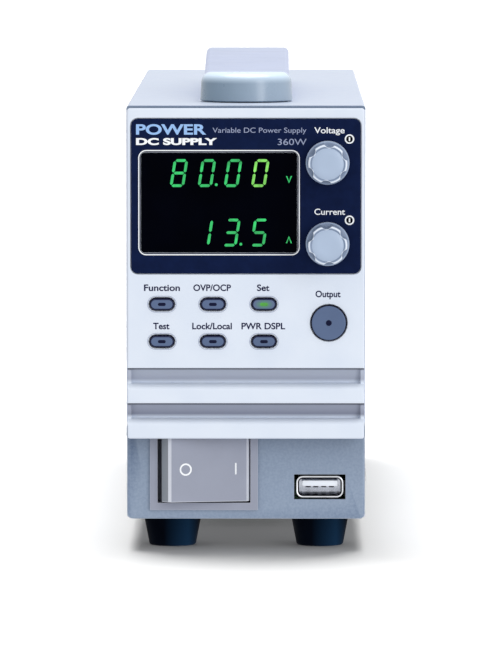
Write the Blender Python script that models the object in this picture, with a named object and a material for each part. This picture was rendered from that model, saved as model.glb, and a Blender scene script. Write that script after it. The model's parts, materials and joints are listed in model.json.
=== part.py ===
"""Bench power supply: a narrow DC supply with a moulded front, a carrying strap and a fan at the back.

The row frame has its origin on the bench under the middle of the supply, +Z up, and the front faces -Y.
Every size below is in millimetres, and make() turns it into metres.
"""

import math

import bmesh
import bpy
from mathutils import Vector

MM = 0.001

# Driving dimensions.
CASE_WIDTH = 71.2
CASE_HEIGHT = 124.0
CASE_DEPTH = 350.0
PANEL_WIDTH = 70.6
FOOT_HEIGHT = 9.4
KNOB_PROUD = 12.0
TERMINAL_PROUD = 12.0
SHEET = 0.8
GAP = 0.3

# Where the case stands in the row frame.
FRONT = -(CASE_DEPTH + TERMINAL_PROUD - KNOB_PROUD) / 2
BACK = FRONT + CASE_DEPTH
BASE = FOOT_HEIGHT
TOP = BASE + CASE_HEIGHT
HALF = CASE_WIDTH / 2
INSIDE = HALF - SHEET

# Front panel moulding.
PANEL_HALF = PANEL_WIDTH / 2
PANEL_THICK = 1.7
PANEL_TOP = TOP - 0.8
PANEL_FOOT = BASE + 24.65
LIPS = [BASE + 45.75, BASE + 35.25]
CORNER = 0.8
FLANGE = (FRONT + 2.2, FRONT + 3.4)
GROOVE_DEPTH = 5.0
GROOVE_END_DEPTH = 2.9
GROOVE_CEILING = 4.0
GROOVE_SILL = 4.6
GROOVE_HEIGHT = 6.8
GROOVE_HALF = 34.2
CHANNEL_HALF = 34.5
CHANNEL = (BASE + 28.7, BASE + 47.5)
CHANNEL_BACK = FRONT + GROOVE_DEPTH + 1.2
AIR_SLOTS = 9
AIR_SLOT_PITCH = 7.0
AIR_SLOT_WIDTH = 5.2
AIR_SLOT_DEPTHS = (FRONT + 1.9, FRONT + 2.9)
SHAFT_HOLE_RADIUS = 3.9

# Overlay, window and controls, as (x, z) on the front.
OVERLAY = (-34.15, 34.15, BASE + 74.0, BASE + 120.1)
OVERLAY_THICK = 0.6
WINDOW = (-31.45, 15.5, BASE + 80.0, BASE + 110.25)
DISPLAY = (-8.0, BASE + 95.1)
KNOBS = {"voltage": (24.3, BASE + 107.1), "current": (24.3, BASE + 82.95)}
KEY_COLUMNS = (-25.0, -9.8, 5.4)
KEY_ROWS = (BASE + 64.85, BASE + 53.75)
KEY_NAMES = (("function", "protection", "set"), ("test", "lock", "power_display"))
KEY_SIZE = (7.1, 3.3)
KEY_GAP = 0.25
KEY_FLANGE = 0.9
KEY_PROUD = 0.9
KEY_FLANGE_DEPTHS = (FRONT + 2.0, FRONT + 3.0)
KEY_STEM_SIDE = 1.6
KEY_STEM_END = FRONT + 7.7
OUTPUT = (24.7, BASE + 59.3)
OUTPUT_RADIUS = 5.15
BOARD_FACE = FRONT + 12.0

# Lower front with the power switch and the USB socket.
LOWER_FACE = FRONT + 8.0
LOWER_THICK = 1.6
SWITCH = (-12.55, BASE + 15.22)
SWITCH_BEZEL = (32.2, 25.0, 1.1)
SWITCH_BODY = (30.6, 22.0)
SWITCH_OPENING = (27.8, 20.7)
ROCKER_HEIGHT = 19.7
ROCKER_RADIUS = 14.34
ROCKER_FACE = 8.0
ROCKER_TILT = math.radians(11.1)
PIVOT = FRONT + 12.5
USB = (22.1, BASE + 9.6)
USB_CUTOUT = (15.4, 7.5)

# Handle.
HANDLE_MIDDLE = 126.0
STRAP_HALVES = {"front": 12.85, "rear": 11.9}
STRAP_THICK = 4.0
CAP_RADII = {"front": 13.9, "rear": 12.95}
CAP_WALL = 0.75
CAP_HEIGHT = 8.9
CAP_END = 21.6
CAP_LENGTH = 16.4
CAP_TAPER = 0.4
STRAP_LOW = 4.4
STRAP_RISE = 7.3

# Back panel, as (x, z) centres.
FAN = (0.0, BASE + 58.5)
FAN_SIZE = 60.0
FAN_DEPTH = 25.0
FAN_SCREW_PITCH = 50.0
GUARD_RINGS = (9.0, 15.5, 22.0, 28.0)
GUARD_WIRE = 0.8
INLET = (-17.5, BASE + 15.5)
INLET_FLANGE = (31.0, 24.0)
INLET_BODY = (27.4, 20.4)
INLET_PINS = ((-7.0, -2.0), (0.0, 2.0), (7.0, -2.0))
INLET_PIN = (2.0, 4.0)
LAN = (9.6, BASE + 16.8)
USB_B = (25.6, BASE + 15.6)
OUTPUT_BLOCK = (-17.2, BASE + 106.5)
CONTROL = (17.5, BASE + 98.5)
SENSE = (17.5, BASE + 114.0)
BACK_FACE = BACK + GAP

# Feet, as (x, y), with their radii at the top, low down and underneath.
FOOT_RADII = (8.6, 7.2, 6.5)
FEET = {
    "foot_front_left": (-22.2, FRONT + 27.0),
    "foot_front_right": (22.2, FRONT + 27.0),
    "foot_rear_left": (-22.2, BACK - 27.0),
    "foot_rear_right": (22.2, BACK - 27.0),
}

COLOURS = {
    "white_plastic": ((0.74, 0.80, 0.90), 0.35, 0.0),
    "white_paint": ((0.70, 0.75, 0.86), 0.45, 0.0),
    "slate_paint": ((0.26, 0.31, 0.41), 0.5, 0.3),
    "overlay_blue": ((0.012, 0.018, 0.055), 0.3, 0.0),
    "black_lens": ((0.003, 0.003, 0.006), 0.08, 0.0),
    "key_grey": ((0.14, 0.17, 0.26), 0.5, 0.0),
    "knob_silver": ((0.45, 0.52, 0.63), 0.35, 0.2),
    "switch_grey": ((0.36, 0.37, 0.43), 0.45, 0.0),
    "steel": ((0.62, 0.62, 0.62), 0.3, 1.0),
    "aluminium": ((0.72, 0.73, 0.75), 0.35, 1.0),
    "brass": ((0.78, 0.6, 0.3), 0.3, 1.0),
    "black_plastic": ((0.015, 0.015, 0.018), 0.45, 0.0),
    "black_rubber": ((0.008, 0.010, 0.014), 0.6, 0.0),
    "strap": ((0.60, 0.65, 0.80), 0.5, 0.0),
    "cap_grey": ((0.42, 0.50, 0.60), 0.3, 0.0),
    "board_green": ((0.02, 0.16, 0.07), 0.4, 0.0),
    "ferrite": ((0.05, 0.05, 0.055), 0.6, 0.0),
    "tape_yellow": ((0.75, 0.55, 0.08), 0.5, 0.0),
    "capacitor_blue": ((0.02, 0.05, 0.2), 0.3, 0.0),
    "copper": ((0.7, 0.32, 0.16), 0.35, 1.0),
    "foam": ((0.05, 0.05, 0.055), 0.9, 0.0),
    "silicone": ((0.5, 0.5, 0.52), 0.6, 0.0),
    "connector_green": ((0.02, 0.25, 0.1), 0.45, 0.0),
}


def clear_scene():
    for old in list(bpy.data.objects):
        bpy.data.objects.remove(old)


def material(name):
    found = bpy.data.materials.get(name)
    if found:
        return found
    colour, roughness, metallic = COLOURS[name]
    made = bpy.data.materials.new(name)
    made.use_nodes = True
    shader = made.node_tree.nodes["Principled BSDF"]
    shader.inputs["Base Color"].default_value = (*colour, 1.0)
    shader.inputs["Roughness"].default_value = roughness
    shader.inputs["Metallic"].default_value = metallic
    return made


# Outlines, each a list of two coordinates.


def arc(cx, cz, radius, start, end, steps):
    """Points on an arc, from start to end in degrees, both ends included."""
    angles = [math.radians(start + (end - start) * k / steps) for k in range(steps + 1)]
    return [(cx + radius * math.cos(a), cz + radius * math.sin(a)) for a in angles]


def circle(cx, cz, radius, steps):
    return arc(cx, cz, radius, 0, 360 - 360 / steps, steps - 1)


def rectangle(x0, x1, z0, z1):
    return [(x0, z0), (x1, z0), (x1, z1), (x0, z1)]


def around(centre, size):
    """The sides of a rectangle of this size about a centre."""
    return (
        centre[0] - size[0] / 2,
        centre[0] + size[0] / 2,
        centre[1] - size[1] / 2,
        centre[1] + size[1] / 2,
    )


def rounded(sides, radius, steps=4, low_radius=None, inset=0.0):
    """A rectangle with round corners. low_radius is for the lower two. inset shrinks it all round."""
    x0, x1, z0, z1 = sides
    x0, x1, z0, z1 = x0 + inset, x1 - inset, z0 + inset, z1 - inset
    high = max(radius - inset, 0.02)
    low = max((radius if low_radius is None else low_radius) - inset, 0.02)
    return (
        arc(x0 + low, z0 + low, low, 180, 270, steps)
        + arc(x1 - low, z0 + low, low, 270, 360, steps)
        + arc(x1 - high, z1 - high, high, 0, 90, steps)
        + arc(x0 + high, z1 - high, high, 90, 180, steps)
    )


def stadium(centre, size, steps=6, inset=0.0):
    radius = size[1] / 2 - inset
    reach = (size[0] - size[1]) / 2
    cx, cz = centre
    return arc(cx - reach, cz, radius, 90, 270, steps) + arc(
        cx + reach, cz, radius, 270, 450, steps
    )


# Solids, added to a bmesh in row-frame millimetres.


def placed(point, along, axis):
    """A point of an outline, put where it belongs for an extrusion along that axis."""
    a, b = point
    return {"x": (along, a, b), "y": (a, along, b), "z": (a, b, along)}[axis]


def add_loft(bm, rings):
    """A closed skin through rings that hold the same number of points, with flat ends."""
    loops = [[bm.verts.new(Vector(p)) for p in ring] for ring in rings]
    count = len(loops[0])
    for first, second in zip(loops, loops[1:]):
        for k in range(count):
            n = (k + 1) % count
            bm.faces.new((first[k], first[n], second[n], second[k]))
    bm.faces.new(loops[0][::-1])
    bm.faces.new(loops[-1])


def add_prism(bm, outline, start, end, axis="y"):
    add_loft(bm, [[placed(p, s, axis) for p in outline] for s in (start, end)])


def add_box(bm, x, y, z):
    add_prism(bm, rectangle(*x, *z), *y)


def add_lathe(bm, profile, centre, segments, axis="y"):
    """Turns (radius, along) points about an axis through centre. A radius of 0 closes an end."""
    rings = []
    for radius, along in profile:
        if radius < 1e-6:
            rings.append([bm.verts.new(Vector(placed(centre, along, axis)))])
            continue
        ring = circle(*centre, radius, segments)
        rings.append([bm.verts.new(Vector(placed(p, along, axis))) for p in ring])
    for first, second in zip(rings, rings[1:]):
        for k in range(segments):
            n = (k + 1) % segments
            corners = (
                [first[0]] if len(first) == 1 else [first[k], first[n]]
            ) + ([second[0]] if len(second) == 1 else [second[n], second[k]])
            bm.faces.new(corners)
    for ring in (rings[0], rings[-1]):
        if len(ring) > 1:
            bm.faces.new(ring)


def rim(outline_at, face, back, radius, steps=3):
    """Rings of an extrusion along Y whose front edge is rounded. outline_at(inset) gives the outline."""
    rings = []
    for k in range(steps + 1):
        turn = math.radians(90 * k / steps)
        inset = radius * (1 - math.sin(turn))
        depth = face + radius * (1 - math.cos(turn))
        rings.append([placed(p, depth, "y") for p in outline_at(inset)])
    rings.append([placed(p, back, "y") for p in outline_at(0.0)])
    return rings


def make(name, bm, colour, origin=(0, 0, 0), sharp=35):
    """Turns a bmesh into an object in metres, with its origin where it is asked for."""
    bmesh.ops.recalc_face_normals(bm, faces=bm.faces[:])
    origin = Vector(origin)
    for vert in bm.verts:
        vert.co = (vert.co - origin) * MM
    mesh = bpy.data.meshes.new(name)
    bm.to_mesh(mesh)
    bm.free()
    mesh.shade_smooth()
    mesh.set_sharp_from_angle(angle=math.radians(sharp))
    obj = bpy.data.objects.new(name, mesh)
    obj.location = origin * MM
    if colour:
        mesh.materials.append(material(colour))
    bpy.context.scene.collection.objects.link(obj)
    return obj


def helper(obj, bm, operation):
    """A hidden solid that a Boolean of obj cuts away or joins on."""
    number = len(obj.modifiers)
    other = make(f"{obj.name}_{operation.lower()}_{number}", bm, None)
    other.hide_render = True
    other.display_type = "WIRE"
    modifier = obj.modifiers.new(f"{operation.lower()}_{number}", "BOOLEAN")
    modifier.operation = operation
    modifier.object = other
    return obj


def cut(obj, *fills):
    """Cuts away what each fill adds to its own bmesh."""
    for fill in fills:
        bm = bmesh.new()
        fill(bm)
        helper(obj, bm, "DIFFERENCE")
    return obj


def join(obj, *fills):
    for fill in fills:
        bm = bmesh.new()
        fill(bm)
        helper(obj, bm, "UNION")
    return obj


def solid(name, fill, colour, origin=(0, 0, 0), sharp=35):
    bm = bmesh.new()
    fill(bm)
    return make(name, bm, colour, origin, sharp)


def box(x, y, z):
    return lambda bm: add_box(bm, x, y, z)


def prism(outline, start, end, axis="y"):
    return lambda bm: add_prism(bm, outline, start, end, axis)


def lathe(profile, centre, segments, axis="y"):
    return lambda bm: add_lathe(bm, profile, centre, segments, axis)


# Front.


def groove_outline(lip, deep):
    """An air groove under a lip, in (y, z), down to a depth. Its sill curves out to the face."""
    ahead = FRONT - 1.0
    foot = lip - GROOVE_HEIGHT
    chamfer = 0.25
    steps = 6
    start = math.asin(1 - deep / GROOVE_DEPTH)
    points = [(ahead, lip + chamfer), (FRONT, lip + chamfer), (FRONT + chamfer, lip)]
    points.append((FRONT + min(deep, GROOVE_CEILING), lip))
    for k in range(steps + 1):
        turn = start + (math.pi / 2 - start) * k / steps
        rise = (GROOVE_HEIGHT - GROOVE_SILL) * math.cos(turn)
        points.append((FRONT + GROOVE_DEPTH * (1 - math.sin(turn)), foot + rise))
    points.append((ahead, foot))
    return points


def hole_with_chamfer(outline_at, wide):
    """A hole through the front panel whose mouth opens out. outline_at(inset) gives the hole."""

    def fill(bm):
        rings = [(FRONT - 0.5, -wide), (FRONT, -wide), (FRONT + 0.5, 0.0), (FRONT + 3.0, 0.0)]
        add_loft(bm, [[placed(p, y, "y") for p in outline_at(inset)] for y, inset in rings])

    return fill


def air_slots(bm):
    """Slots through the ceiling of each groove, into the space behind the panel."""
    for lip in LIPS:
        for k in range(AIR_SLOTS):
            x = (k - (AIR_SLOTS - 1) / 2) * AIR_SLOT_PITCH
            across = (x - AIR_SLOT_WIDTH / 2, x + AIR_SLOT_WIDTH / 2)
            add_box(bm, across, AIR_SLOT_DEPTHS, (lip - 0.1, lip + 2.6))


def front_panel():
    sides = (-PANEL_HALF, PANEL_HALF, PANEL_FOOT, PANEL_TOP)
    rings = rim(
        lambda inset: rounded(sides, CORNER, 4, CORNER, inset),
        FRONT,
        FRONT + PANEL_THICK,
        0.5,
    )
    panel = solid("front_panel", lambda bm: add_loft(bm, rings), "white_plastic")
    join(
        panel,
        box((-PANEL_HALF, PANEL_HALF), (FRONT + 1.2, FLANGE[1] - 0.1), CHANNEL),
        box((-CHANNEL_HALF, CHANNEL_HALF), (FRONT + 1.2, CHANNEL_BACK), CHANNEL),
    )
    between = (LIPS[1] + 1.8, LIPS[0] - GROOVE_HEIGHT - 0.5)
    cut(
        panel,
        *[prism(groove_outline(lip, GROOVE_DEPTH), -GROOVE_HALF, GROOVE_HALF, "x") for lip in LIPS],
        *[prism(groove_outline(lip, GROOVE_END_DEPTH), -HALF - 2, HALF + 2, "x") for lip in LIPS],
        box((-31.0, 31.0), (FRONT + PANEL_THICK, CHANNEL_BACK + 1), between),
        air_slots,
        prism(rounded(OVERLAY, 2.0, 4, inset=-GAP), FRONT - 1, FRONT + 0.8),
        prism(rectangle(*around(DISPLAY, (44.0, 27.6))), FRONT, FRONT + 3),
        lambda bm: [
            add_prism(bm, circle(*at, SHAFT_HOLE_RADIUS, 16), FRONT, FRONT + 3)
            for at in KNOBS.values()
        ],
    )
    hole = (KEY_SIZE[0] + 2 * KEY_GAP, KEY_SIZE[1] + 2 * KEY_GAP)
    for row in KEY_ROWS:
        for column in KEY_COLUMNS:
            spot = (column, row)
            cut(panel, hole_with_chamfer(lambda i, s=spot: stadium(s, hole, 6, i), 0.3))
    cut(
        panel,
        hole_with_chamfer(lambda i: circle(*OUTPUT, OUTPUT_RADIUS + KEY_GAP - i, 24), 0.3),
    )


def display_overlay():
    face = FRONT - 0.1
    overlay = solid(
        "display_overlay",
        prism(rounded(OVERLAY, 2.0), face, face + OVERLAY_THICK),
        "overlay_blue",
    )
    cut(
        overlay,
        prism(rounded(WINDOW, 1.2, 3), face - 1, face + 2),
        lambda bm: [
            add_prism(bm, circle(*at, SHAFT_HOLE_RADIUS, 16), face - 1, face + 2)
            for at in KNOBS.values()
        ],
    )
    solid(
        "display_window",
        prism(rounded(WINDOW, 1.2, 3, inset=GAP), face, face + OVERLAY_THICK),
        "black_lens",
    )


def front_subpanel():
    """The slate frame behind the white moulding. Its lower part holds the power switch."""
    wall = 34.3
    side = [
        (FRONT + 2.6, BASE + 25.4),
        (FRONT + 2.6, TOP - 1.7),
        (FRONT + 12.0, TOP - 1.7),
        (FRONT + 12.0, BASE + 1.4),
        (LOWER_FACE + 0.6, BASE + 1.4),
        (LOWER_FACE + 0.6, BASE + 25.4),
    ]
    frame = solid("front_subpanel", prism(side, -wall, wall, "x"), "slate_paint")
    edge = (-HALF, HALF, PANEL_FOOT + 0.3, TOP - 0.15)
    join(frame, prism(rounded(edge, CORNER, 4, 0.4), *FLANGE))
    cut(
        frame,
        box((-33.0, 33.0), (FRONT, LOWER_FACE + 0.2), (BASE + 24.0, TOP - 3.0)),
        box((-33.0, 33.0), (FRONT + 7, FRONT + 20), (BASE + 30.6, TOP - 3.0)),
        box((-33.0, 33.0), (LOWER_FACE + 0.8, FRONT + 20), (BASE + 2.7, BASE + 30.7)),
    )
    channel_room = CHANNEL_HALF + GAP
    channel_span = (CHANNEL[0] - GAP, CHANNEL[1] + GAP)
    cut(
        frame,
        box((-channel_room, channel_room), (FRONT, CHANNEL_BACK + 0.5), channel_span),
        box((-HALF - 1, HALF + 1), (FRONT, FLANGE[1] + 0.2), channel_span),
    )
    lower = (-HALF, HALF, BASE, BASE + 29.0)
    rings = rim(
        lambda inset: rounded(lower, 0.6, 3, 1.5, inset),
        LOWER_FACE,
        LOWER_FACE + LOWER_THICK,
        0.6,
        2,
    )
    join(frame, lambda bm: add_loft(bm, rings))
    cutout = (SWITCH_BODY[0] + 2 * GAP, SWITCH_BODY[1] + 2 * GAP)
    cut(
        frame,
        prism(rectangle(*around(SWITCH, cutout)), FRONT + 6, FRONT + 14),
        prism(rectangle(*around(USB, USB_CUTOUT)), FRONT + 6, FRONT + 14),
    )


def key(name, spot, size, face_round):
    """A key cap with a flange that keeps it behind the panel and a stem that reaches the key mat."""
    face = FRONT - KEY_PROUD
    cap = solid(
        name,
        lambda bm: add_loft(
            bm, rim(lambda inset: stadium(spot, size, 6, inset), face, FRONT + 3.2, face_round, 2)
        ),
        "key_grey",
        (spot[0], FRONT, spot[1]),
    )
    flange = (size[0] + 2 * KEY_FLANGE, size[1] + 2 * KEY_FLANGE)
    stem = rectangle(*around(spot, (KEY_STEM_SIDE, KEY_STEM_SIDE)))
    join(
        cap,
        prism(stadium(spot, flange, 5), *KEY_FLANGE_DEPTHS),
        prism(stem, KEY_FLANGE_DEPTHS[1] - 0.1, KEY_STEM_END),
    )


def keys():
    for row, names in zip(KEY_ROWS, KEY_NAMES):
        for column, name in zip(KEY_COLUMNS, names):
            key(f"key_{name}", (column, row), KEY_SIZE, 0.5)
    face = FRONT - KEY_PROUD
    stem = 1.2
    ahead, behind = KEY_FLANGE_DEPTHS
    profile = [
        (0, face),
        (OUTPUT_RADIUS - 0.6, face),
        (OUTPUT_RADIUS - 0.17, face + 0.17),
        (OUTPUT_RADIUS, face + 0.6),
        (OUTPUT_RADIUS, ahead),
        (OUTPUT_RADIUS + KEY_FLANGE, ahead),
        (OUTPUT_RADIUS + KEY_FLANGE, behind),
        (stem, behind),
        (stem, KEY_STEM_END),
        (0, KEY_STEM_END),
    ]
    solid(
        "output_button",
        lathe(profile, OUTPUT, 24),
        "key_grey",
        (OUTPUT[0], FRONT, OUTPUT[1]),
    )


def keypad_mat():
    """The silicone mat on the display board, with one dome behind each key."""
    sheet = rectangle(-31.0, 31.0, BASE + 49.5, BASE + 70.0)
    mat = solid("keypad_mat", prism(sheet, BOARD_FACE - 1.0, BOARD_FACE - GAP), "silicone")
    spots = [(c, r) for r in KEY_ROWS for c in KEY_COLUMNS] + [OUTPUT]
    dome = [(1.3, BOARD_FACE - 3.2), (2.2, BOARD_FACE - 0.9), (2.2, BOARD_FACE - 0.6)]
    join(mat, lambda bm: [add_lathe(bm, dome, spot, 8) for spot in spots])


def knob_radius(angle, deep):
    """Radius of the grip at an angle: six round notches between six lobes. deep is the notch depth."""
    lobe_radius = 6.0
    turn = (angle * 6 / (2 * math.pi)) % 1.0
    notch = max(0.0, math.cos((turn - 0.5) * math.pi)) ** 3
    return lobe_radius - deep * notch


def knob(kind):
    """A push-and-turn knob: skirt, six-lobed grip and a dished face, with a blind bore for the shaft."""
    cx, cz = KNOBS[kind]
    back = FRONT - 2.0
    face = FRONT - KNOB_PROUD
    segments = 36

    def ring(y, radius_at):
        angles = [2 * math.pi * k / segments for k in range(segments)]
        return [
            (cx + radius_at(a) * math.cos(a), y, cz + radius_at(a) * math.sin(a))
            for a in angles
        ]

    bore = 3.3
    rings = [
        ring(face + 2.5, lambda a: bore),
        ring(back, lambda a: bore),
        ring(back, lambda a: 6.3),
        ring(back - 0.3, lambda a: 6.5),
        ring(back - 1.4, lambda a: 6.5),
        ring(back - 1.9, lambda a: knob_radius(a, 0.5)),
        ring(face + 0.7, lambda a: knob_radius(a, 1.0)),
        ring(face + 0.1, lambda a: knob_radius(a, 0.7) - 0.7),
        ring(face, lambda a: 4.75),
    ]
    solid(
        f"{kind}_knob",
        lambda bm: add_loft(bm, rings),
        "knob_silver",
        (cx, FRONT, cz),
    )
    tip, end = face + 2.8, FRONT + 8.7
    shaft = [(0, tip), (2.7, tip), (3.0, tip + 0.3), (3.0, end), (0, end)]
    solid(f"{kind}_shaft", lathe(shaft, (cx, cz), 24), "aluminium", (cx, FRONT, cz))
    plunger = [(0, end + GAP), (2.8, end + GAP), (2.8, end + 1.5), (0, end + 1.5)]
    solid(f"{kind}_plunger", lathe(plunger, (cx, cz), 12), "brass", (cx, FRONT, cz))
    encoder = solid(
        f"{kind}_encoder",
        prism(rectangle(*around((cx, cz), (12.0, 12.4))), FRONT + 4.6, BOARD_FACE - GAP),
        "steel",
    )
    join(encoder, prism(circle(cx, cz, 3.6, 24), FRONT - 0.1, FRONT + 5.0))
    cut(encoder, prism(circle(cx, cz, 3.1, 24), FRONT - 2, BOARD_FACE + 2))


def display_board():
    solid(
        "display_board",
        box((-32.0, 32.0), (BOARD_FACE, BOARD_FACE + 1.6), (BASE + 30.0, BASE + 119.5)),
        "board_green",
    )


def display_modules():
    """One four-digit LED module for each reading, on the display board."""
    for kind, row in (("voltage", DISPLAY[1] + 8.8), ("current", DISPLAY[1] - 8.8)):
        sides = around((DISPLAY[0], row), (43.0, 14.6))
        solid(
            f"{kind}_display",
            prism(rectangle(*sides), FRONT + 2.2, BOARD_FACE - GAP),
            "black_plastic",
        )


def rocker_outline():
    """The rocker in plan, as (x, y) about its pivot at mid throw: a flat face and two round ends."""
    corner = math.degrees(math.asin(ROCKER_FACE / ROCKER_RADIUS))
    right = arc(0, 0, ROCKER_RADIUS, corner, corner - 17, 5)
    left = arc(0, 0, ROCKER_RADIUS, 180 - corner + 17, 180 - corner, 5)
    stem = [(4.0, -1.5), (-4.0, -1.5)]
    return [(x, -y) for x, y in right + stem + left]


def power_switch():
    """The rocker rests with its right side, the on side, pressed in."""
    x, z = SWITCH
    bezel = FRONT + 6.9
    housing = solid(
        "power_switch_housing",
        prism(rectangle(*around(SWITCH, SWITCH_BEZEL[:2])), bezel, bezel + SWITCH_BEZEL[2]),
        "switch_grey",
    )
    cavity = (SWITCH_BODY[0] - 1.5, SWITCH_BODY[1] - 1.2)
    join(housing, prism(rectangle(*around(SWITCH, SWITCH_BODY)), bezel + 1.0, bezel + 20.0))
    cut(
        housing,
        prism(rectangle(*around(SWITCH, SWITCH_OPENING)), bezel - 1, bezel + 2),
        prism(rectangle(*around(SWITCH, cavity)), bezel + 1.2, bezel + 12.0),
    )
    cos, sin = math.cos(ROCKER_TILT), math.sin(ROCKER_TILT)
    turned = [(x + px * cos - py * sin, PIVOT + px * sin + py * cos) for px, py in rocker_outline()]
    solid(
        "power_rocker",
        prism(turned, z - ROCKER_HEIGHT / 2, z + ROCKER_HEIGHT / 2, "z"),
        "switch_grey",
        (x, PIVOT, z),
        20,
    )


def front_usb():
    """A flanged USB A shell with its tongue."""
    mouth = LOWER_FACE + 0.4
    outer, inner = (13.1, 5.7), (12.4, 5.0)
    shell = solid(
        "front_usb_shell",
        prism(rounded(around(USB, (14.3, 6.7)), 1.2, 2), mouth, mouth + 0.4),
        "steel",
    )
    join(shell, prism(rectangle(*around(USB, outer)), mouth + 0.2, mouth + 14.0))
    cut(shell, prism(rectangle(*around(USB, inner)), mouth - 1, mouth + 13.5))
    x, z = USB
    solid(
        "front_usb_tongue",
        box((x - 5.3, x + 5.3), (mouth + 0.8, mouth + 13.2), (z + 0.1, z + 1.8)),
        "silicone",
    )


def air_filter():
    """A strip of filter foam behind the grooves, between the panel and the display board."""
    solid(
        "air_filter",
        box((-31.5, 31.5), (FRONT + 7.2, FRONT + 10.2), (BASE + 31.0, BASE + 48.4)),
        "foam",
    )


# Case.


def sheet_u(half, low, high, thick, radius):
    """Outline of a folded sheet that is open below, in (x, z)."""
    inner = max(radius - thick, 0.2)
    outside = (
        [(half, low)]
        + arc(half - radius, high - radius, radius, 0, 90, 3)
        + arc(-half + radius, high - radius, radius, 90, 180, 3)
        + [(-half, low)]
    )
    inside = (
        [(-half + thick, low)]
        + arc(-half + thick + inner, high - thick - inner, inner, 180, 90, 3)
        + arc(half - thick - inner, high - thick - inner, inner, 90, 0, 3)
        + [(half - thick, low)]
    )
    return outside + inside


def top_cover():
    """The painted cover: top and both sides in one folded sheet."""
    start = FLANGE[1] + GAP
    cover = solid(
        "top_cover",
        prism(sheet_u(HALF, BASE + 0.5, TOP, SHEET, 1.0), start, BACK),
        "white_paint",
    )
    step = LOWER_FACE + LOWER_THICK + GAP
    cut(
        cover,
        box((-HALF - 1, HALF + 1), (FRONT, step), (BASE - 1, BASE + 29.3)),
        lambda bm: [
            add_prism(bm, circle(y, z, 1.9, 10), side * (HALF - 2), side * (HALF + 2), "x")
            for side, y, z in cover_screw_spots().values()
        ],
    )


def cover_screw_spots():
    """Each cover screw's side of the case, y and z."""
    height = BASE + 9.0
    spots = {}
    for side, side_name in ((-1, "left"), (1, "right")):
        for y, end_name in ((FRONT + 60.0, "front"), (BACK - 45.0, "rear")):
            spots[f"cover_screw_{side_name}_{end_name}"] = (side, y, height)
    return spots


def cover_screws():
    """Low-headed screws through the cover into the tray's flanges."""
    for name, (side, y, z) in cover_screw_spots().items():
        under = HALF + 0.2
        out = HALF + 0.75
        profile = [
            (0, side * out),
            (2.3, side * out),
            (2.8, side * (out - 0.3)),
            (2.8, side * under),
            (1.5, side * under),
            (1.5, side * (INSIDE - 3.0)),
            (0, side * (INSIDE - 3.0)),
        ]
        solid(name, lathe(profile, (y, z), 12, "x"), "steel", (side * HALF, y, z))


def chassis_tray():
    """The steel tray, with flanges that the cover screws into and bosses for the main board."""
    half = INSIDE - GAP
    thick = 1.0
    flange = BASE + 14.0
    outline = [
        (-half, BASE),
        (half, BASE),
        (half, flange),
        (half - thick, flange),
        (half - thick, BASE + thick),
        (-half + thick, BASE + thick),
        (-half + thick, flange),
        (-half, flange),
    ]
    tray = solid("chassis_tray", prism(outline, FRONT + 12.3, BACK - 1.6), "steel")
    boss = [(3.0, BASE + 0.5), (3.0, BASE + 7.7)]
    spots = [(x, y) for x in (-22.0, 26.0) for y in (FRONT + 60.0, BACK - 60.0)]
    join(tray, lambda bm: [add_lathe(bm, boss, spot, 10, "z") for spot in spots])
    cut(
        tray,
        lambda bm: [
            add_prism(bm, circle(y, z, 1.9, 10), side * (half - 3), side * (half + 3), "x")
            for side, y, z in cover_screw_spots().values()
        ],
        lambda bm: [
            add_box(bm, (-14.0, 14.0), (FRONT + y, FRONT + y + 3.0), (BASE - 1, BASE + 2))
            for y in range(90, 150, 8)
        ],
    )


def feet():
    """Round rubber feet with a screw recess underneath."""
    top, low, under = FOOT_RADII
    for name, spot in FEET.items():
        profile = [
            (0, BASE - GAP),
            (top, BASE - GAP),
            (top, BASE - 1.0),
            (low, 0.9),
            (under, 0.0),
            (3.6, 0.0),
            (3.4, 3.0),
            (0, 3.0),
        ]
        solid(name, lathe(profile, spot, 20, "z"), "black_rubber", (*spot, 0))


def d_shape(centre_y, radius, towards, length, steps=10):
    """A plan outline in (x, y): a half circle at one end and a straight cut at the other."""
    ends = (180, 360) if towards < 0 else (0, 180)
    half = arc(0, centre_y, radius, *ends, steps)
    cut_y = centre_y - towards * length
    return half + [(half[-1][0], cut_y), (half[0][0], cut_y)]


def handle_cap(end, towards):
    """A hood over one end of the strap. towards is -1 at the front and 1 at the rear."""
    radius = CAP_RADII[end]
    tip = FRONT + HANDLE_MIDDLE + towards * (HANDLE_MIDDLE - CAP_END)
    centre = tip - towards * radius
    length = CAP_LENGTH - radius
    low = TOP + GAP
    round_top = 2.7
    rings = [[(x, y, low) for x, y in d_shape(centre, radius, towards, length)]]
    for k in range(4):
        turn = math.radians(30 * k)
        inset = round_top * (1 - math.cos(turn)) + CAP_TAPER
        z = TOP + CAP_HEIGHT - round_top + round_top * math.sin(turn)
        outline = d_shape(centre, radius - inset, towards, length)
        rings.append([(x, y, z) for x, y in outline])
    cap = solid(f"handle_{end}_cap", lambda bm: add_loft(bm, rings), "cap_grey")
    pocket = d_shape(centre, radius - CAP_WALL, towards, length + 2)
    cut(cap, prism(pocket, TOP + STRAP_LOW - 2.5, TOP + STRAP_LOW + 2.4, "z"))


def strap_height(s):
    """Height of the strap's middle line above the case, from 0 at a cap to 1 half way along."""
    return STRAP_LOW + STRAP_RISE * math.sin(s * math.pi / 2) ** 1.25


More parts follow.
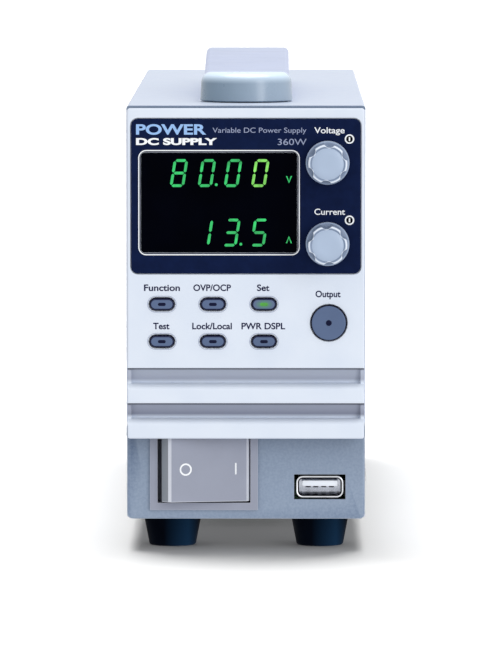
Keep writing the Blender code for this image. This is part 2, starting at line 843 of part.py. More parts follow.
def strap_stations(end):
    """Depth from that end of the case, half width and height of each section, out to the middle."""
    half = STRAP_HALVES[end]
    widest = STRAP_HALVES["front"]
    tip = CAP_END + CAP_RADII[end] - half
    mouth = CAP_END + CAP_LENGTH
    stations = []
    for k in range(1, 6):
        turn = math.radians(18 * k)
        depth = tip + half * (1 - math.cos(turn))
        stations.append((depth, max(half * math.sin(turn), 2.0), STRAP_LOW))
    steps = 12
    for k in range(steps + 1):
        s = k / steps
        depth = mouth + (HANDLE_MIDDLE - mouth) * s
        stations.append((depth, half + (widest - half) * s, strap_height(s)))
    return stations


def handle_strap():
    """A strap bowed up between the caps, narrower at the rear. Its round ends lie in the caps."""
    edge = 1.5
    half_thick = STRAP_THICK / 2

    def section(depth, half, height):
        across = half - edge
        points = []
        for sx, sz, start in ((1, 1, 0), (-1, 1, 90), (-1, -1, 180), (1, -1, 270)):
            cx, cz = sx * across, height + sz * (half_thick - edge)
            points += arc(cx, cz, edge, start, start + 90, 2)
        return [(x, FRONT + depth, TOP + z) for x, z in points]

    rear = [(2 * HANDLE_MIDDLE - d, h, z) for d, h, z in reversed(strap_stations("rear")[:-1])]
    rings = [section(*station) for station in strap_stations("front") + rear]
    origin = (0, FRONT + HANDLE_MIDDLE, TOP + STRAP_LOW)
    solid("handle_strap", lambda bm: add_loft(bm, rings), "strap", origin)


# Back.


def rear_panel():
    panel = solid(
        "rear_panel",
        box((-INSIDE + GAP, INSIDE - GAP), (BACK - 1.0, BACK), (BASE + 1.4, TOP - 1.2)),
        "white_paint",
    )
    holes = [
        circle(*FAN, 27.8, 28),
        rectangle(*around(INLET, (28.0, 21.0))),
        rectangle(*around(LAN, (16.6, 14.1))),
        rectangle(*around(USB_B, (12.6, 11.6))),
        rectangle(*around(OUTPUT_BLOCK, (26.0, 20.0))),
        rectangle(*around(CONTROL, (19.0, 10.0))),
        rectangle(*around(SENSE, (24.6, 7.6))),
    ]
    cut(
        panel,
        lambda bm: [add_prism(bm, hole, BACK - 3, BACK + 2) for hole in holes],
    )


def fan():
    """A 60 mm fan behind the back panel: frame with a motor bracket, and a seven-bladed rotor."""
    cx, cz = FAN
    inner = BACK - 1.0 - GAP - FAN_DEPTH
    outer = BACK - 1.0 - GAP
    frame = solid(
        "fan_frame",
        prism(rounded(around(FAN, (FAN_SIZE, FAN_SIZE)), 4.0, 3), inner, outer),
        "black_plastic",
    )
    cut(frame, prism(circle(cx, cz, 28.2, 32), inner - 1, outer + 1))
    arms = [rectangle(*around(FAN, (58.0, 2.4))), rectangle(*around(FAN, (2.4, 58.0)))]
    join(
        frame,
        prism(arms[0], inner + 0.1, inner + 2.5),
        prism(arms[1], inner + 0.1, inner + 2.5),
        prism(circle(cx, cz, 12.0, 16), inner + 0.05, inner + 3.0),
    )
    hub = solid(
        "fan_rotor",
        prism(circle(cx, cz, 13.0, 20), inner + 4.0, outer - 2.0),
        "black_plastic",
        (cx, (inner + outer) / 2, cz),
    )
    join(hub, lambda bm: fan_blades(bm, inner + 5.0, outer - 3.0))


def fan_blades(bm, start, end):
    """Seven blades, each a thin sheet that leans over as it goes back."""
    cx, cz = FAN
    lean = math.radians(26)
    thick = math.radians(3.0)
    for blade in range(7):
        around_hub = 2 * math.pi * blade / 7
        rings = []
        for radius in (11.5, 19.0, 27.0):
            thin = thick * 14 / radius
            corners = [
                (around_hub - lean / 2 - thin, start),
                (around_hub - lean / 2 + thin, start),
                (around_hub + lean / 2 + thin, end),
                (around_hub + lean / 2 - thin, end),
            ]
            rings.append(
                [(cx + radius * math.cos(a), y, cz + radius * math.sin(a)) for a, y in corners]
            )
        add_loft(bm, rings)


def finger_guard():
    """A wire guard over the fan: rings on a cross of two bars, with four screw eyes."""
    cx, cz = FAN
    wire = GUARD_WIRE
    plane = BACK_FACE + 1.9

    def bar(dx, dz):
        span = 33.0
        outline = rectangle(-span, span, -wire, wire)
        turned = [(cx + a * dx - b * dz, cz + a * dz + b * dx) for a, b in outline]
        return prism(turned, plane - 1.6, plane - 0.2)

    diagonal = math.sqrt(0.5)
    guard = solid("finger_guard", bar(diagonal, diagonal), "steel")
    join(guard, bar(diagonal, -diagonal))
    for radius in GUARD_RINGS:
        join(guard, lambda bm, r=radius: add_ring(bm, r, wire, plane))
    reach = FAN_SCREW_PITCH / 2
    for sx in (-1, 1):
        for sz in (-1, 1):
            eye = (cx + sx * reach, cz + sz * reach)
            join(guard, prism(circle(*eye, 2.9, 10), plane - 1.5, plane - 0.3))


def add_ring(bm, radius, wire, plane):
    """A wire ring about the fan's axis."""
    cx, cz = FAN
    segments, sides = 20, 4
    loops = []
    for k in range(segments):
        a = 2 * math.pi * k / segments
        loop = []
        for j in range(sides):
            b = 2 * math.pi * (j + 0.5) / sides
            r = radius + wire * math.cos(b)
            spot = (cx + r * math.cos(a), plane + wire * math.sin(b), cz + r * math.sin(a))
            loop.append(bm.verts.new(Vector(spot)))
        loops.append(loop)
    for k in range(segments):
        for j in range(sides):
            m, n = (k + 1) % segments, (j + 1) % sides
            bm.faces.new((loops[k][j], loops[k][n], loops[m][n], loops[m][j]))


def ac_inlet():
    """A snap-in mains inlet with its three flat pins."""
    x, z = INLET
    inlet = solid(
        "ac_inlet",
        prism(rounded(around(INLET, INLET_FLANGE), 2.5, 3), BACK_FACE, BACK_FACE + 2.5),
        "black_plastic",
    )
    join(inlet, prism(rectangle(*around(INLET, INLET_BODY)), BACK - 20.0, BACK_FACE + 1.0))
    mouth = [(-12.1, -8.1), (12.1, -8.1), (12.1, 3.5), (7.5, 8.1), (-7.5, 8.1), (-12.1, 3.5)]
    cut(inlet, prism([(x + a, z + b) for a, b in mouth], BACK - 15.0, BACK_FACE + 4))
    blades = [rectangle(*around((x + a, z + b), INLET_PIN)) for a, b in INLET_PINS]
    join(
        inlet,
        lambda bm: [add_prism(bm, blade, BACK - 16.0, BACK - 3.2) for blade in blades],
    )


def output_terminals():
    """The output block: a barrier moulding with a bay for each pole, and a bolt on a bar in each."""
    x, z = OUTPUT_BLOCK
    block = solid(
        "output_terminal_block",
        box((x - 16.6, x + 16.6), (BACK_FACE, BACK + TERMINAL_PROUD), (z - 14.0, z + 14.0)),
        "black_plastic",
    )
    join(block, box((x - 12.6, x + 12.6), (BACK - 14.0, BACK + 4.0), (z - 9.6, z + 9.6)))
    bays = {"positive": x - 7.9, "negative": x + 7.9}
    cut(
        block,
        lambda bm: [
            add_box(bm, (bay - 7.1, bay + 7.1), (BACK + 3.0, BACK + 20.0), (z - 11.0, z + 11.0))
            for bay in bays.values()
        ],
    )
    for pole, bay in bays.items():
        seat = BACK + 3.0 + GAP
        bar = solid(
            f"{pole}_terminal",
            box((bay - 6.5, bay + 6.5), (seat, seat + 1.6), (z - 9.5, z + 9.5)),
            "brass",
        )
        join(
            bar,
            prism(circle(bay, z, 4.2, 16), seat + 1.2, seat + 2.8),
            prism(circle(bay, z, 3.4, 6), seat + 2.6, seat + 6.2),
        )


def sense_terminal():
    """A plug-in terminal strip for the sense leads: five wire ways and five screws above them."""
    x, z = SENSE
    strip = solid(
        "sense_terminal",
        box((x - 13.0, x + 13.0), (BACK_FACE, BACK + 8.5), (z - 4.6, z + 4.6)),
        "connector_green",
    )
    join(strip, box((x - 12.0, x + 12.0), (BACK - 8.0, BACK + 4.0), (z - 3.5, z + 3.5)))
    ways = [x + (k - 2) * 5.0 for k in range(5)]
    cut(
        strip,
        lambda bm: [
            add_box(bm, (way - 1.4, way + 1.4), (BACK + 3.5, BACK + 10.0), (z - 3.2, z - 0.6))
            for way in ways
        ],
        lambda bm: [
            add_prism(bm, circle(way, z + 2.0, 1.4, 8), BACK + 6.5, BACK + 10.0) for way in ways
        ],
    )


def control_connector():
    """A nine-way D connector with its two jack screws."""
    x, z = CONTROL
    shell = [(-8.2, 4.1), (8.2, 4.1), (7.1, -4.1), (-7.1, -4.1)]
    plug = solid(
        "control_connector",
        prism(rounded(around(CONTROL, (30.8, 12.5)), 1.0, 2), BACK_FACE, BACK_FACE + 1.0),
        "steel",
    )
    join(
        plug,
        prism([(x + a, z + b) for a, b in shell], BACK - 9.0, BACK_FACE + 6.0),
        lambda bm: [
            add_prism(bm, circle(x + a, z, 2.6, 6), BACK_FACE + 0.6, BACK_FACE + 5.0)
            for a in (-12.5, 12.5)
        ],
    )


def data_ports():
    """The network jack and the USB B socket, on the main board's back edge."""
    lan = solid(
        "lan_port",
        prism(rectangle(*around(LAN, (16.0, 13.5))), BACK - 20.0, BACK + 1.5),
        "steel",
    )
    x, z = LAN
    cut(lan, prism(rectangle(x - 5.9, x + 5.9, z - 4.6, z + 4.0), BACK - 12.0, BACK + 3))
    socket = solid(
        "usb_b_port",
        prism(rectangle(*around(USB_B, (12.0, 11.0))), BACK - 15.0, BACK + 1.5),
        "steel",
    )
    x, z = USB_B
    mouth = [(-4.25, -3.9), (4.25, -3.9), (4.25, 2.3), (2.7, 3.9), (-2.7, 3.9), (-4.25, 2.3)]
    cut(socket, prism([(x + a, z + b) for a, b in mouth], BACK - 9.0, BACK + 3))
    join(socket, box((x - 2.8, x + 2.8), (BACK - 10.0, BACK + 0.5), (z - 1.6, z + 1.6)))


# Inside.


def power_train():
    """The main board and what stands on it."""
    outline = [
        (-27.0, FRONT + 52.0),
        (31.0, FRONT + 52.0),
        (31.0, BACK - 2.0),
        (1.0, BACK - 2.0),
        (1.0, BACK - 50.0),
        (-27.0, BACK - 50.0),
    ]
    solid("main_board", prism(outline, BASE + 8.0, BASE + 9.6, "z"), "board_green")
    floor = BASE + 9.6 + GAP
    fins = [(30.5, floor), (30.5, floor + 66.0), (27.5, floor + 66.0)]
    for k in range(8):
        z = floor + 60.0 - k * 8.0
        fins += [(27.5, z + 1.5), (12.0, z + 1.5), (12.0, z), (27.5, z)]
    fins += [(27.5, floor)]
    solid("heatsink", prism(fins, FRONT + 170.0, FRONT + 300.0), "aluminium")
    core = solid(
        "transformer_core",
        box((-22.0, 10.0), (FRONT + 128.0, FRONT + 146.0), (floor + 4.0, floor + 38.0)),
        "ferrite",
    )
    middle = -6.0
    through = (FRONT + 127.0, FRONT + 147.0)
    cut(
        core,
        lambda bm: [
            add_box(bm, (middle + a, middle + b), through, (floor + 9.0, floor + 33.0))
            for a, b in ((-11.0, -4.5), (4.5, 11.0))
        ],
    )
    winding = solid(
        "transformer_winding",
        prism(
            rounded((middle - 10.6, middle + 10.6, FRONT + 119.0, FRONT + 155.0), 4.0, 3),
            floor + 9.4,
            floor + 32.6,
            "z",
        ),
        "tape_yellow",
    )
    hole = (FRONT + 127.6, FRONT + 146.4)
    cut(winding, box((middle - 4.9, middle + 4.9), hole, (floor, floor + 50)))
    solid(
        "bulk_capacitor",
        lathe(
            [(0, floor), (12.5, floor), (12.5, floor + 41.0), (11.7, floor + 42.0), (0, floor + 42.0)],
            (-9.0, FRONT + 66.0),
            20,
            "z",
        ),
        "capacitor_blue",
    )
    solid("output_inductor", lambda bm: add_toroid(bm, (-8.0, FRONT + 210.0), floor), "copper")


def add_toroid(bm, centre, floor):
    """A wound ring lying flat on the board."""
    segments, sides, radius, wire = 18, 6, 11.0, 4.5
    loops = []
    for k in range(segments):
        a = 2 * math.pi * k / segments
        loop = []
        for j in range(sides):
            b = 2 * math.pi * (j + 0.5) / sides
            r = radius + wire * math.cos(b)
            spot = (
                centre[0] + r * math.cos(a),
                centre[1] + r * math.sin(a),
                floor + 5.2 + wire * math.sin(b),
            )
            loop.append(bm.verts.new(Vector(spot)))
        loops.append(loop)
    for k in range(segments):
        for j in range(sides):
            m, n = (k + 1) % segments, (j + 1) % sides
            bm.faces.new((loops[k][j], loops[m][j], loops[m][n], loops[k][n]))


def mains_harness():
    """The sheathed mains leads, from the inlet along the left wall to the back of the power switch."""
    route = [
        (-17.5, BACK - 20.4, BASE + 15.5),
        (-17.5, BACK - 23.5, BASE + 15.5),
        (-24.0, BACK - 30.0, BASE + 8.5),
        (-29.5, BACK - 40.0, BASE + 5.0),
        (-30.2, BACK - 60.0, BASE + 4.6),
        (-30.2, FRONT + 200.0, BASE + 4.6),
        (-30.2, FRONT + 120.0, BASE + 4.6),
        (-30.2, FRONT + 60.0, BASE + 4.6),
        (-29.0, FRONT + 44.0, BASE + 5.4),
        (-21.0, FRONT + 36.0, BASE + 12.0),
        (SWITCH[0], FRONT + 31.0, SWITCH[1]),
        (SWITCH[0], FRONT + 27.4, SWITCH[1]),
    ]
    spaced = [route[0]]
    for i in range(len(route) - 1):
        before, after = route[max(i - 1, 0)], route[min(i + 2, len(route) - 1)]
        a, b, c, d = (Vector(p) for p in (before, route[i], route[i + 1], after))
        steps = max(1, round((c - b).length / 11.0))
        for k in range(1, steps + 1):
            t = k / steps
            point = 0.5 * (
                2 * b
                + (c - a) * t
                + (2 * a - 5 * b + 4 * c - d) * t * t
                + (3 * b - a - 3 * c + d) * t * t * t
            )
            spaced.append(tuple(point))
    curve = bpy.data.curves.new("mains_harness", "CURVE")
    curve.dimensions = "3D"
    curve.bevel_depth = 2.4 * MM
    curve.bevel_resolution = 2
    curve.use_fill_caps = True
    spline = curve.splines.new("POLY")
    spline.points.add(len(spaced) - 1)
    for point, spot in zip(spline.points, spaced):
        point.co = (*(Vector(spot) * MM), 1.0)
    obj = bpy.data.objects.new("mains_harness", curve)
    curve.materials.append(material("black_rubber"))
    bpy.context.scene.collection.objects.link(obj)


def main():
    clear_scene()
    front_panel()
    display_overlay()
    front_subpanel()
    keys()
    keypad_mat()
    for kind in KNOBS:
        knob(kind)
    display_board()
    display_modules()
    power_switch()
    front_usb()
    air_filter()
    top_cover()
    cover_screws()
    chassis_tray()
    feet()
    handle_cap("front", -1)
    handle_cap("rear", 1)
    handle_strap()
    rear_panel()
    fan()
    finger_guard()
    ac_inlet()
    output_terminals()
    sense_terminal()
    control_connector()
    data_ports()
    power_train()
    mains_harness()


main()
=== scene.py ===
"""The looks of the bench power supply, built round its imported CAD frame. Sizes are in mm."""

import json
import math

import bmesh
import bpy
from mathutils import Euler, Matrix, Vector

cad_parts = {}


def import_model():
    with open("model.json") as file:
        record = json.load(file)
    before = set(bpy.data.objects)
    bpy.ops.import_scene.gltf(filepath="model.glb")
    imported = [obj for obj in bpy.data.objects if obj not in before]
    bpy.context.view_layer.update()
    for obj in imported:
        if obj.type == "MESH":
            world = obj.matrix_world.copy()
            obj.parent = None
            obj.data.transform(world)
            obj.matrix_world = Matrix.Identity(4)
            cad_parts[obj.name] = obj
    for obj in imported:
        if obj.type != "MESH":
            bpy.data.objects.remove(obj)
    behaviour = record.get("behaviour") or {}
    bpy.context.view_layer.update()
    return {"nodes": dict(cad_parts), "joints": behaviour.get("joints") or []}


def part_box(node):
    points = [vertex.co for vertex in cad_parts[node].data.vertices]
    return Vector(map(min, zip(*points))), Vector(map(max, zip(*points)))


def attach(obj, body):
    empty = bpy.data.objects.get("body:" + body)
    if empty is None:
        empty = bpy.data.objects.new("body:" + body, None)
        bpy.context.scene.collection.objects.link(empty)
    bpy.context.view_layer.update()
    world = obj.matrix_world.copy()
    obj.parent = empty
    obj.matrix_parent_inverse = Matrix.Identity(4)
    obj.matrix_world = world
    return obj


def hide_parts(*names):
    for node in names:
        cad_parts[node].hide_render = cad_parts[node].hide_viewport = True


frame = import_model()
nodes = frame["nodes"]

MM = 0.001
CHASSIS = "chassis"


def side(node, corner, axis):
    """One side of a CAD node's box in mm: corner 0 is low and 1 is high."""
    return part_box(node)[corner][axis] / MM


def middle(node):
    """Centre of a CAD node's box, in mm."""
    low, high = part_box(node)
    return (low + high) / (2 * MM)


def face_of(node, corner=0):
    """A CAD node's middle in x and z, and its front face in y, or its back face with corner at 1."""
    return middle(node).x, middle(node).z, side(node, corner, 1)


def spans(node):
    """The x, y and z spans of a CAD node's box, in mm."""
    return [(low / MM, high / MM) for low, high in zip(*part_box(node))]


FRONT = side("front_panel", 0, 1)
BASE = side("chassis_tray", 0, 2)
TOP = side("top_cover", 1, 2)
BACK = side("top_cover", 1, 1)
HALF = side("top_cover", 1, 0)
OVERLAY_FACE = side("display_overlay", 0, 1)
GROOVE_LIPS = (BASE + 45.75, BASE + 35.25)
PRINT = 0.03


def new_object(name, data):
    obj = bpy.data.objects.new(name, data)
    bpy.context.scene.collection.objects.link(obj)
    return obj


# ---------------------------------------------------------------- materials


def srgb(*rgb):
    """Linear colour from 0-255 values."""
    values = [c / 255 for c in rgb]
    return tuple(c / 12.92 if c <= 0.04045 else ((c + 0.055) / 1.055) ** 2.4 for c in values)


class Surface:
    """Builds one Principled material, with colour mottle, roughness variation and bump from noise."""

    def __init__(self, name, colour, roughness, metallic=0.0, **sockets):
        self.material = bpy.data.materials.new(name)
        self.material.use_nodes = True
        self.tree = self.material.node_tree
        self.shader = self.tree.nodes["Principled BSDF"]
        self.colour = colour
        self.roughness = roughness
        self.set("Base Color", (*colour, 1.0))
        self.set("Roughness", roughness)
        self.set("Metallic", metallic)
        for socket, value in sockets.items():
            self.set(socket.replace("_", " "), value)
        self.place = self.node("TexCoord").outputs["Object"]
        self.normal = None

    def set(self, socket, value):
        self.shader.inputs[socket].default_value = value

    def drive(self, socket, output):
        self.link(output, self.shader.inputs[socket])
        return self

    def node(self, kind):
        return self.tree.nodes.new("ShaderNode" + kind)

    def link(self, a, b):
        self.tree.links.new(a, b)

    def mapped(self, kind, **inputs):
        """A node that reads the object's coordinates, with these inputs."""
        made = self.node(kind)
        for socket, value in inputs.items():
            made.inputs[socket].default_value = value
        self.link(self.place, made.inputs["Vector"])
        return made

    def noise(self, scale, detail=3.0, stretch=None):
        """Noise; stretch scales it by a different number on each axis."""
        made = self.mapped("TexNoise", Scale=scale, Detail=detail)
        if stretch:
            self.link(self.mapped("Mapping", Scale=stretch).outputs["Vector"], made.inputs["Vector"])
        return made.outputs["Fac"]

    def ramp(self, value, low, high, out_low=0.0, out_high=1.0):
        made = self.node("MapRange")
        sockets = ("From Min", "From Max", "To Min", "To Max")
        for socket, number in zip(sockets, (low, high, out_low, out_high)):
            made.inputs[socket].default_value = number
        self.link(value, made.inputs["Value"])
        return made.outputs["Result"]

    def along(self, axis, start, end, out_start=0.0, out_end=1.0):
        """Runs between two values from one place on an axis to another, in mm."""
        split = self.mapped("SeparateXYZ")
        return self.ramp(split.outputs[axis], start * MM, end * MM, out_start, out_end)

    def combine(self, operation, first, second):
        """Arithmetic on two terms; each is a number or a socket."""
        made = self.node("Math")
        made.operation = operation
        for socket, term in zip(made.inputs, (first, second)):
            if isinstance(term, float):
                socket.default_value = term
            else:
                self.link(term, socket)
        return made.outputs[0]

    def blend(self, factor, first, second):
        """Mixes two colours; each is a colour or a socket."""
        made = self.node("Mix")
        made.data_type = "RGBA"
        self.link(factor, made.inputs["Factor"])
        for socket, value in ((made.inputs[6], first), (made.inputs[7], second)):
            if isinstance(value, tuple):
                socket.default_value = (*value, 1.0)
            else:
                self.link(value, socket)
        return made.outputs[2]

    def patches(self, scale, first, second, spread=0.2):
        """Cloudy patches of two colours."""
        return self.blend(self.ramp(self.noise(scale, 4.0), 0.5 - spread, 0.5 + spread), first, second)

    def mottle(self, amount, scale, stretch=None):
        """Lighter and darker patches."""
        light = tuple(min(1.0, c * (1 + amount)) for c in self.colour)
        dark = tuple(c * (1 - amount) for c in self.colour)
        fac = self.ramp(self.noise(scale, 4.0, stretch), 0.35, 0.65)
        return self.drive("Base Color", self.blend(fac, dark, light))

    def vary_roughness(self, amount, scale, stretch=None):
        low, high = self.roughness - amount, self.roughness + amount
        value = self.ramp(self.noise(scale, 3.0, stretch), 0.3, 0.7, max(low, 0.02), high)
        return self.drive("Roughness", value)

    def bump(self, height, strength, distance):
        made = self.node("Bump")
        made.inputs["Strength"].default_value = strength
        made.inputs["Distance"].default_value = distance
        self.link(height, made.inputs["Height"])
        if self.normal is not None:
            self.link(self.normal, made.inputs["Normal"])
        self.normal = made.outputs["Normal"]
        return self.drive("Normal", self.normal)

    def grain(self, scale, strength, distance=0.00003, stretch=None):
        return self.bump(self.noise(scale, 2.0, stretch), strength, distance)

    def paint_edge_highlight(self, colour, amount):
        """Paint a little lighter where an edge is sharp: a painted highlight."""
        fac = self.ramp(self.node("NewGeometry").outputs["Pointiness"], 0.51, 0.56, 0.0, amount)
        base = self.shader.inputs["Base Color"].links[0].from_socket
        return self.drive("Base Color", self.blend(fac, base, colour))


def moulded(name, colour, roughness=0.42, grain=0.12, mottle=0.025, **sockets):
    """Fine-textured moulded plastic."""
    made = Surface(name, colour, roughness, **sockets).mottle(mottle, 90)
    return made.vary_roughness(0.05, 160).grain(2600, grain).material


def painted(name, colour):
    """Paint with orange peel and a fine speckle."""
    made = Surface(name, colour, 0.45).mottle(0.03, 1400)
    return made.vary_roughness(0.05, 220).grain(650, 0.12, 0.00006).material


def metal(name, colour, roughness, stretch=(1, 1, 1)):
    """Plain metal with fine drawing or turning lines."""
    made = Surface(name, colour, roughness, 1.0).mottle(0.08, 240, stretch)
    return made.vary_roughness(0.08, 420, stretch).grain(900, 0.10, 0.00002, stretch).material


def ink(name, colour, mottle=0.05, **sockets):
    """Screen print."""
    return Surface(name, colour, 0.5, **sockets).mottle(mottle, 900).grain(3000, 0.1).material


def glowing(name, colour, strength):
    """A lit LED segment, a little uneven along its length."""
    made = Surface(name, tuple(c * 0.3 for c in colour), 0.4)
    made.set("Emission Color", (*colour, 1.0))
    bright = made.ramp(made.noise(420, 3.0), 0.32, 0.68, strength * 0.6, strength * 1.35)
    return made.drive("Emission Strength", bright).material


def glossy_print(name, colour, roughness, specular, mottle, vary, grain):
    """A smooth dark film. mottle, vary and grain hold what those three methods take."""
    made = Surface(name, colour, roughness, Specular_IOR_Level=specular)
    return made.mottle(*mottle).vary_roughness(*vary).grain(*grain).material


# A paler white for the front panel's bevels: a painted highlight along its edges.
FRONT_EDGE_HIGHLIGHT = moulded("front_white_edge_highlight", srgb(250, 252, 255), 0.4, 0.10)
COVER = painted("cover_paint", srgb(214, 224, 242))
# A paler slate for the subpanel's bevels: a painted highlight along its edges.
SLATE_EDGE_HIGHLIGHT = painted("slate_edge_highlight", srgb(206, 216, 230))
OVERLAY = glossy_print("overlay_print", srgb(14, 27, 62), 0.4, 0.04, (0.10, 420), (0.06, 300), (3000, 0.10))
LENS = glossy_print("smoked_lens", srgb(1, 2, 8), 0.12, 0.01, (0.3, 60), (0.03, 90), (400, 0.02, 0.00002))
KEY_COLOUR = srgb(88, 106, 140)
KEY = moulded("key_plastic", KEY_COLOUR, 0.45, 0.14, 0.05, Specular_IOR_Level=0.3)
# Dark navy painted shade: on the sides of the keys for the gap round them, and in screw recesses and slots.
RECESS_SHADE = moulded("navy_painted_shade", srgb(22, 28, 62), 0.5, 0.10, 0.05, Specular_IOR_Level=0.2)
LED_OFF = moulded("led_dark", srgb(14, 18, 50), 0.4, 0.05, 0.05, Specular_IOR_Level=0.1)
KNOB = moulded("knob_plastic", srgb(174, 191, 215), 0.36, 0.10, 0.03)
# Shaded and lit copies of the knob plastic: the skirt and shade tones are painted shade, the edge tone a
# painted highlight.
KNOB_SKIRT_SHADE = moulded("knob_skirt_shade", srgb(152, 168, 194), 0.36, 0.10, 0.03)
KNOB_SHADE = moulded("knob_shade", srgb(126, 142, 168), 0.4, 0.10, 0.03)
KNOB_EDGE_HIGHLIGHT = moulded("knob_edge_highlight", srgb(226, 234, 246), 0.3, 0.08, 0.02)
# Near-black painted shade for the USB mouth's gap and its contacts.
USB_SHADE = moulded("socket_shade", srgb(14, 14, 24), 0.5, 0.10, 0.05, Specular_IOR_Level=0.1)
USB_STEEL = metal("socket_steel", srgb(214, 218, 227), 0.18)
SWITCH = moulded("switch_plastic", srgb(151, 156, 173), 0.42, 0.12, 0.03)
# A darker copy of the switch plastic is painted shade on the rocker's flank, a paler copy a painted highlight
# on bevels.
SWITCH_FLANK_SHADE = moulded("switch_flank_shade", srgb(138, 144, 153), 0.45, 0.12, 0.03)
SWITCH_EDGE_HIGHLIGHT = moulded("switch_edge_highlight", srgb(214, 218, 228), 0.35, 0.10, 0.03)
BLACK = moulded("black_plastic", srgb(30, 31, 35), 0.42, 0.2, 0.08)
GREEN_BLOCK = moulded("green_plastic", srgb(30, 122, 66), 0.42, 0.12, 0.05)
STEEL = metal("plated_steel", srgb(205, 206, 208), 0.25, (1, 6, 1))
STEEL_LIGHT = metal("bright_steel", srgb(236, 238, 242), 0.4)
BRASS = metal("plated_brass", srgb(214, 184, 120), 0.25, (4, 1, 1))
ALUMINIUM = metal("extruded_aluminium", srgb(200, 203, 208), 0.35, (1, 0.1, 1))
FERRITE = Surface("ferrite", srgb(52, 53, 56), 0.6).mottle(0.15, 500).grain(1500, 0.4).material
SLEEVE = Surface("shrink_sleeve", srgb(28, 52, 120), 0.3).mottle(0.06, 120).grain(600, 0.12).material
FOAM = Surface("filter_foam", srgb(40, 40, 42), 0.95).mottle(0.4, 900).grain(1100, 0.9, 0.0005).material
SILICONE = moulded("grey_silicone", srgb(150, 150, 154), 0.55, 0.2)
INK_WHITE = ink("ink_white", srgb(248, 251, 255), 0.03)
INK_PALE = ink("ink_pale", srgb(150, 160, 190))
INK_SKY = ink("ink_sky", srgb(150, 190, 240))
INK_BLUE = ink("ink_blue", srgb(10, 14, 62), 0.06, Specular_IOR_Level=0.2)
INK_GREY = ink("ink_grey", srgb(70, 78, 96), 0.06)
# A grey line round each key, painted shade for the edge of its collar.
COLLAR_SHADE_LINE = ink("collar_shade_line", srgb(160, 169, 194))
LED_GREEN = glowing("led_green", srgb(34, 182, 94), 0.85)
LED_LIME = glowing("led_lime", srgb(122, 210, 88), 0.85)


def front_white():
    """White moulding with painted shade in its two grooves, darkest in a line up under each lip."""
    made = Surface("front_white", srgb(224, 232, 245), 0.42)
    deep = made.along("Y", FRONT + 1.0, FRONT + 2.4)
    colour = made.patches(90, srgb(221, 230, 244), srgb(227, 235, 247))
    # Painted shade: each groove's upper and lower wall colours and the dark line under its lip, deeper in the
    # lower groove.
    for lip, upper, lower in (
        (GROOVE_LIPS[0], srgb(192, 200, 217), srgb(164, 170, 187)),
        (GROOVE_LIPS[1], srgb(172, 178, 197), srgb(131, 136, 155)),
    ):
        below_lip = made.along("Z", lip + 0.3, lip + 0.2)
        above_sill = made.along("Z", lip - 4.5, lip - 3.4)
        corner = made.along("Z", lip - 0.9, lip - 0.4)
        wall = made.blend(made.along("Z", lip - 3.8, lip - 0.8), lower, upper)
        groove_painted_shade = made.blend(corner, wall, srgb(70, 75, 92))
        inside = made.combine("MULTIPLY", made.combine("MULTIPLY", below_lip, above_sill), deep)
        colour = made.blend(inside, colour, groove_painted_shade)
    made.drive("Base Color", colour)
    return made.vary_roughness(0.05, 160).grain(2600, 0.1).material


def slate():
    """Slate paint with painted shade up under the moulding, pale on the thin flange beside it, and a painted
    highlight on its edges.
    """
    made = Surface("slate_paint", srgb(124, 142, 168), 0.45, 0.15)
    shade_under_moulding = made.patches(1400, srgb(89, 108, 136), srgb(107, 124, 149), 0.15)
    bright = made.patches(1400, srgb(110, 129, 157), srgb(128, 145, 170), 0.15)
    # Painted shade: darker upwards, towards the overhang of the moulding.
    colour = made.blend(made.along("Z", BASE + 24.0, BASE + 8.0), shade_under_moulding, bright)
    above_foot = made.along("Z", BASE + 29.2, BASE + 29.6)
    below_top = made.along("Z", TOP - 1.4, TOP - 1.2, 1.0, 0.0)
    flange = made.combine("MULTIPLY", above_foot, below_top)
    made.drive("Base Color", made.blend(flange, colour, srgb(226, 233, 246)))
    made.vary_roughness(0.05, 220).grain(650, 0.1, 0.00006)
    return made.paint_edge_highlight(srgb(176, 190, 208), 0.35).material


def rubber():
    """Black rubber with a painted navy sheen on the right of each foot."""
    made = Surface("foot_rubber", srgb(3, 7, 16), 0.6, Specular_IOR_Level=0.01)
    foot_x = middle("foot_front_right").x * MM
    shifted = made.combine("ADD", made.mapped("SeparateXYZ").outputs["X"], 2 * foot_x)
    across = made.combine("MODULO", shifted, 2 * foot_x)
    rise = made.ramp(across, foot_x - 2.5 * MM, foot_x + 4.5 * MM)
    fall = made.ramp(across, foot_x + 5.0 * MM, foot_x + 8.2 * MM, 1.0, 0.0)
    dark = made.patches(160, srgb(2, 5, 13), srgb(4, 9, 19))
    # A painted sheen: navy on a band to the right of each foot's middle.
    made.drive("Base Color", made.blend(made.combine("MULTIPLY", rise, fall), dark, srgb(18, 42, 66)))
    return made.vary_roughness(0.08, 260).grain(1800, 0.25, 0.00004).material


def cap_gloss():
    """Glossy grey moulding, with painted shade towards its left side and a painted highlight on top."""
    made = Surface("cap_gloss", srgb(150, 166, 186), 0.3, Coat_Weight=0.2, Coat_Roughness=0.2)
    crown = side("handle_front_cap", 1, 2)
    # Painted shade: the left colour is darker, blended across the cap from left to right.
    left = made.patches(70, srgb(101, 123, 141), srgb(105, 127, 145))
    right = made.patches(70, srgb(143, 160, 177), srgb(147, 164, 181))
    flank = made.blend(made.along("X", -13.0, 4.0), left, right)
    # A painted highlight, paler towards the crown.
    top_highlight = made.along("Z", crown - 3.2, crown - 0.9)
    made.drive("Base Color", made.blend(top_highlight, flank, srgb(180, 196, 211)))
    return made.vary_roughness(0.04, 120).grain(900, 0.04, 0.00003).material


def strap_plastic():
    made = Surface("strap_plastic", srgb(200, 209, 234), 0.5).mottle(0.025, 60, (1, 3, 1))
    return made.vary_roughness(0.05, 200).grain(1500, 0.16, 0.00004).material


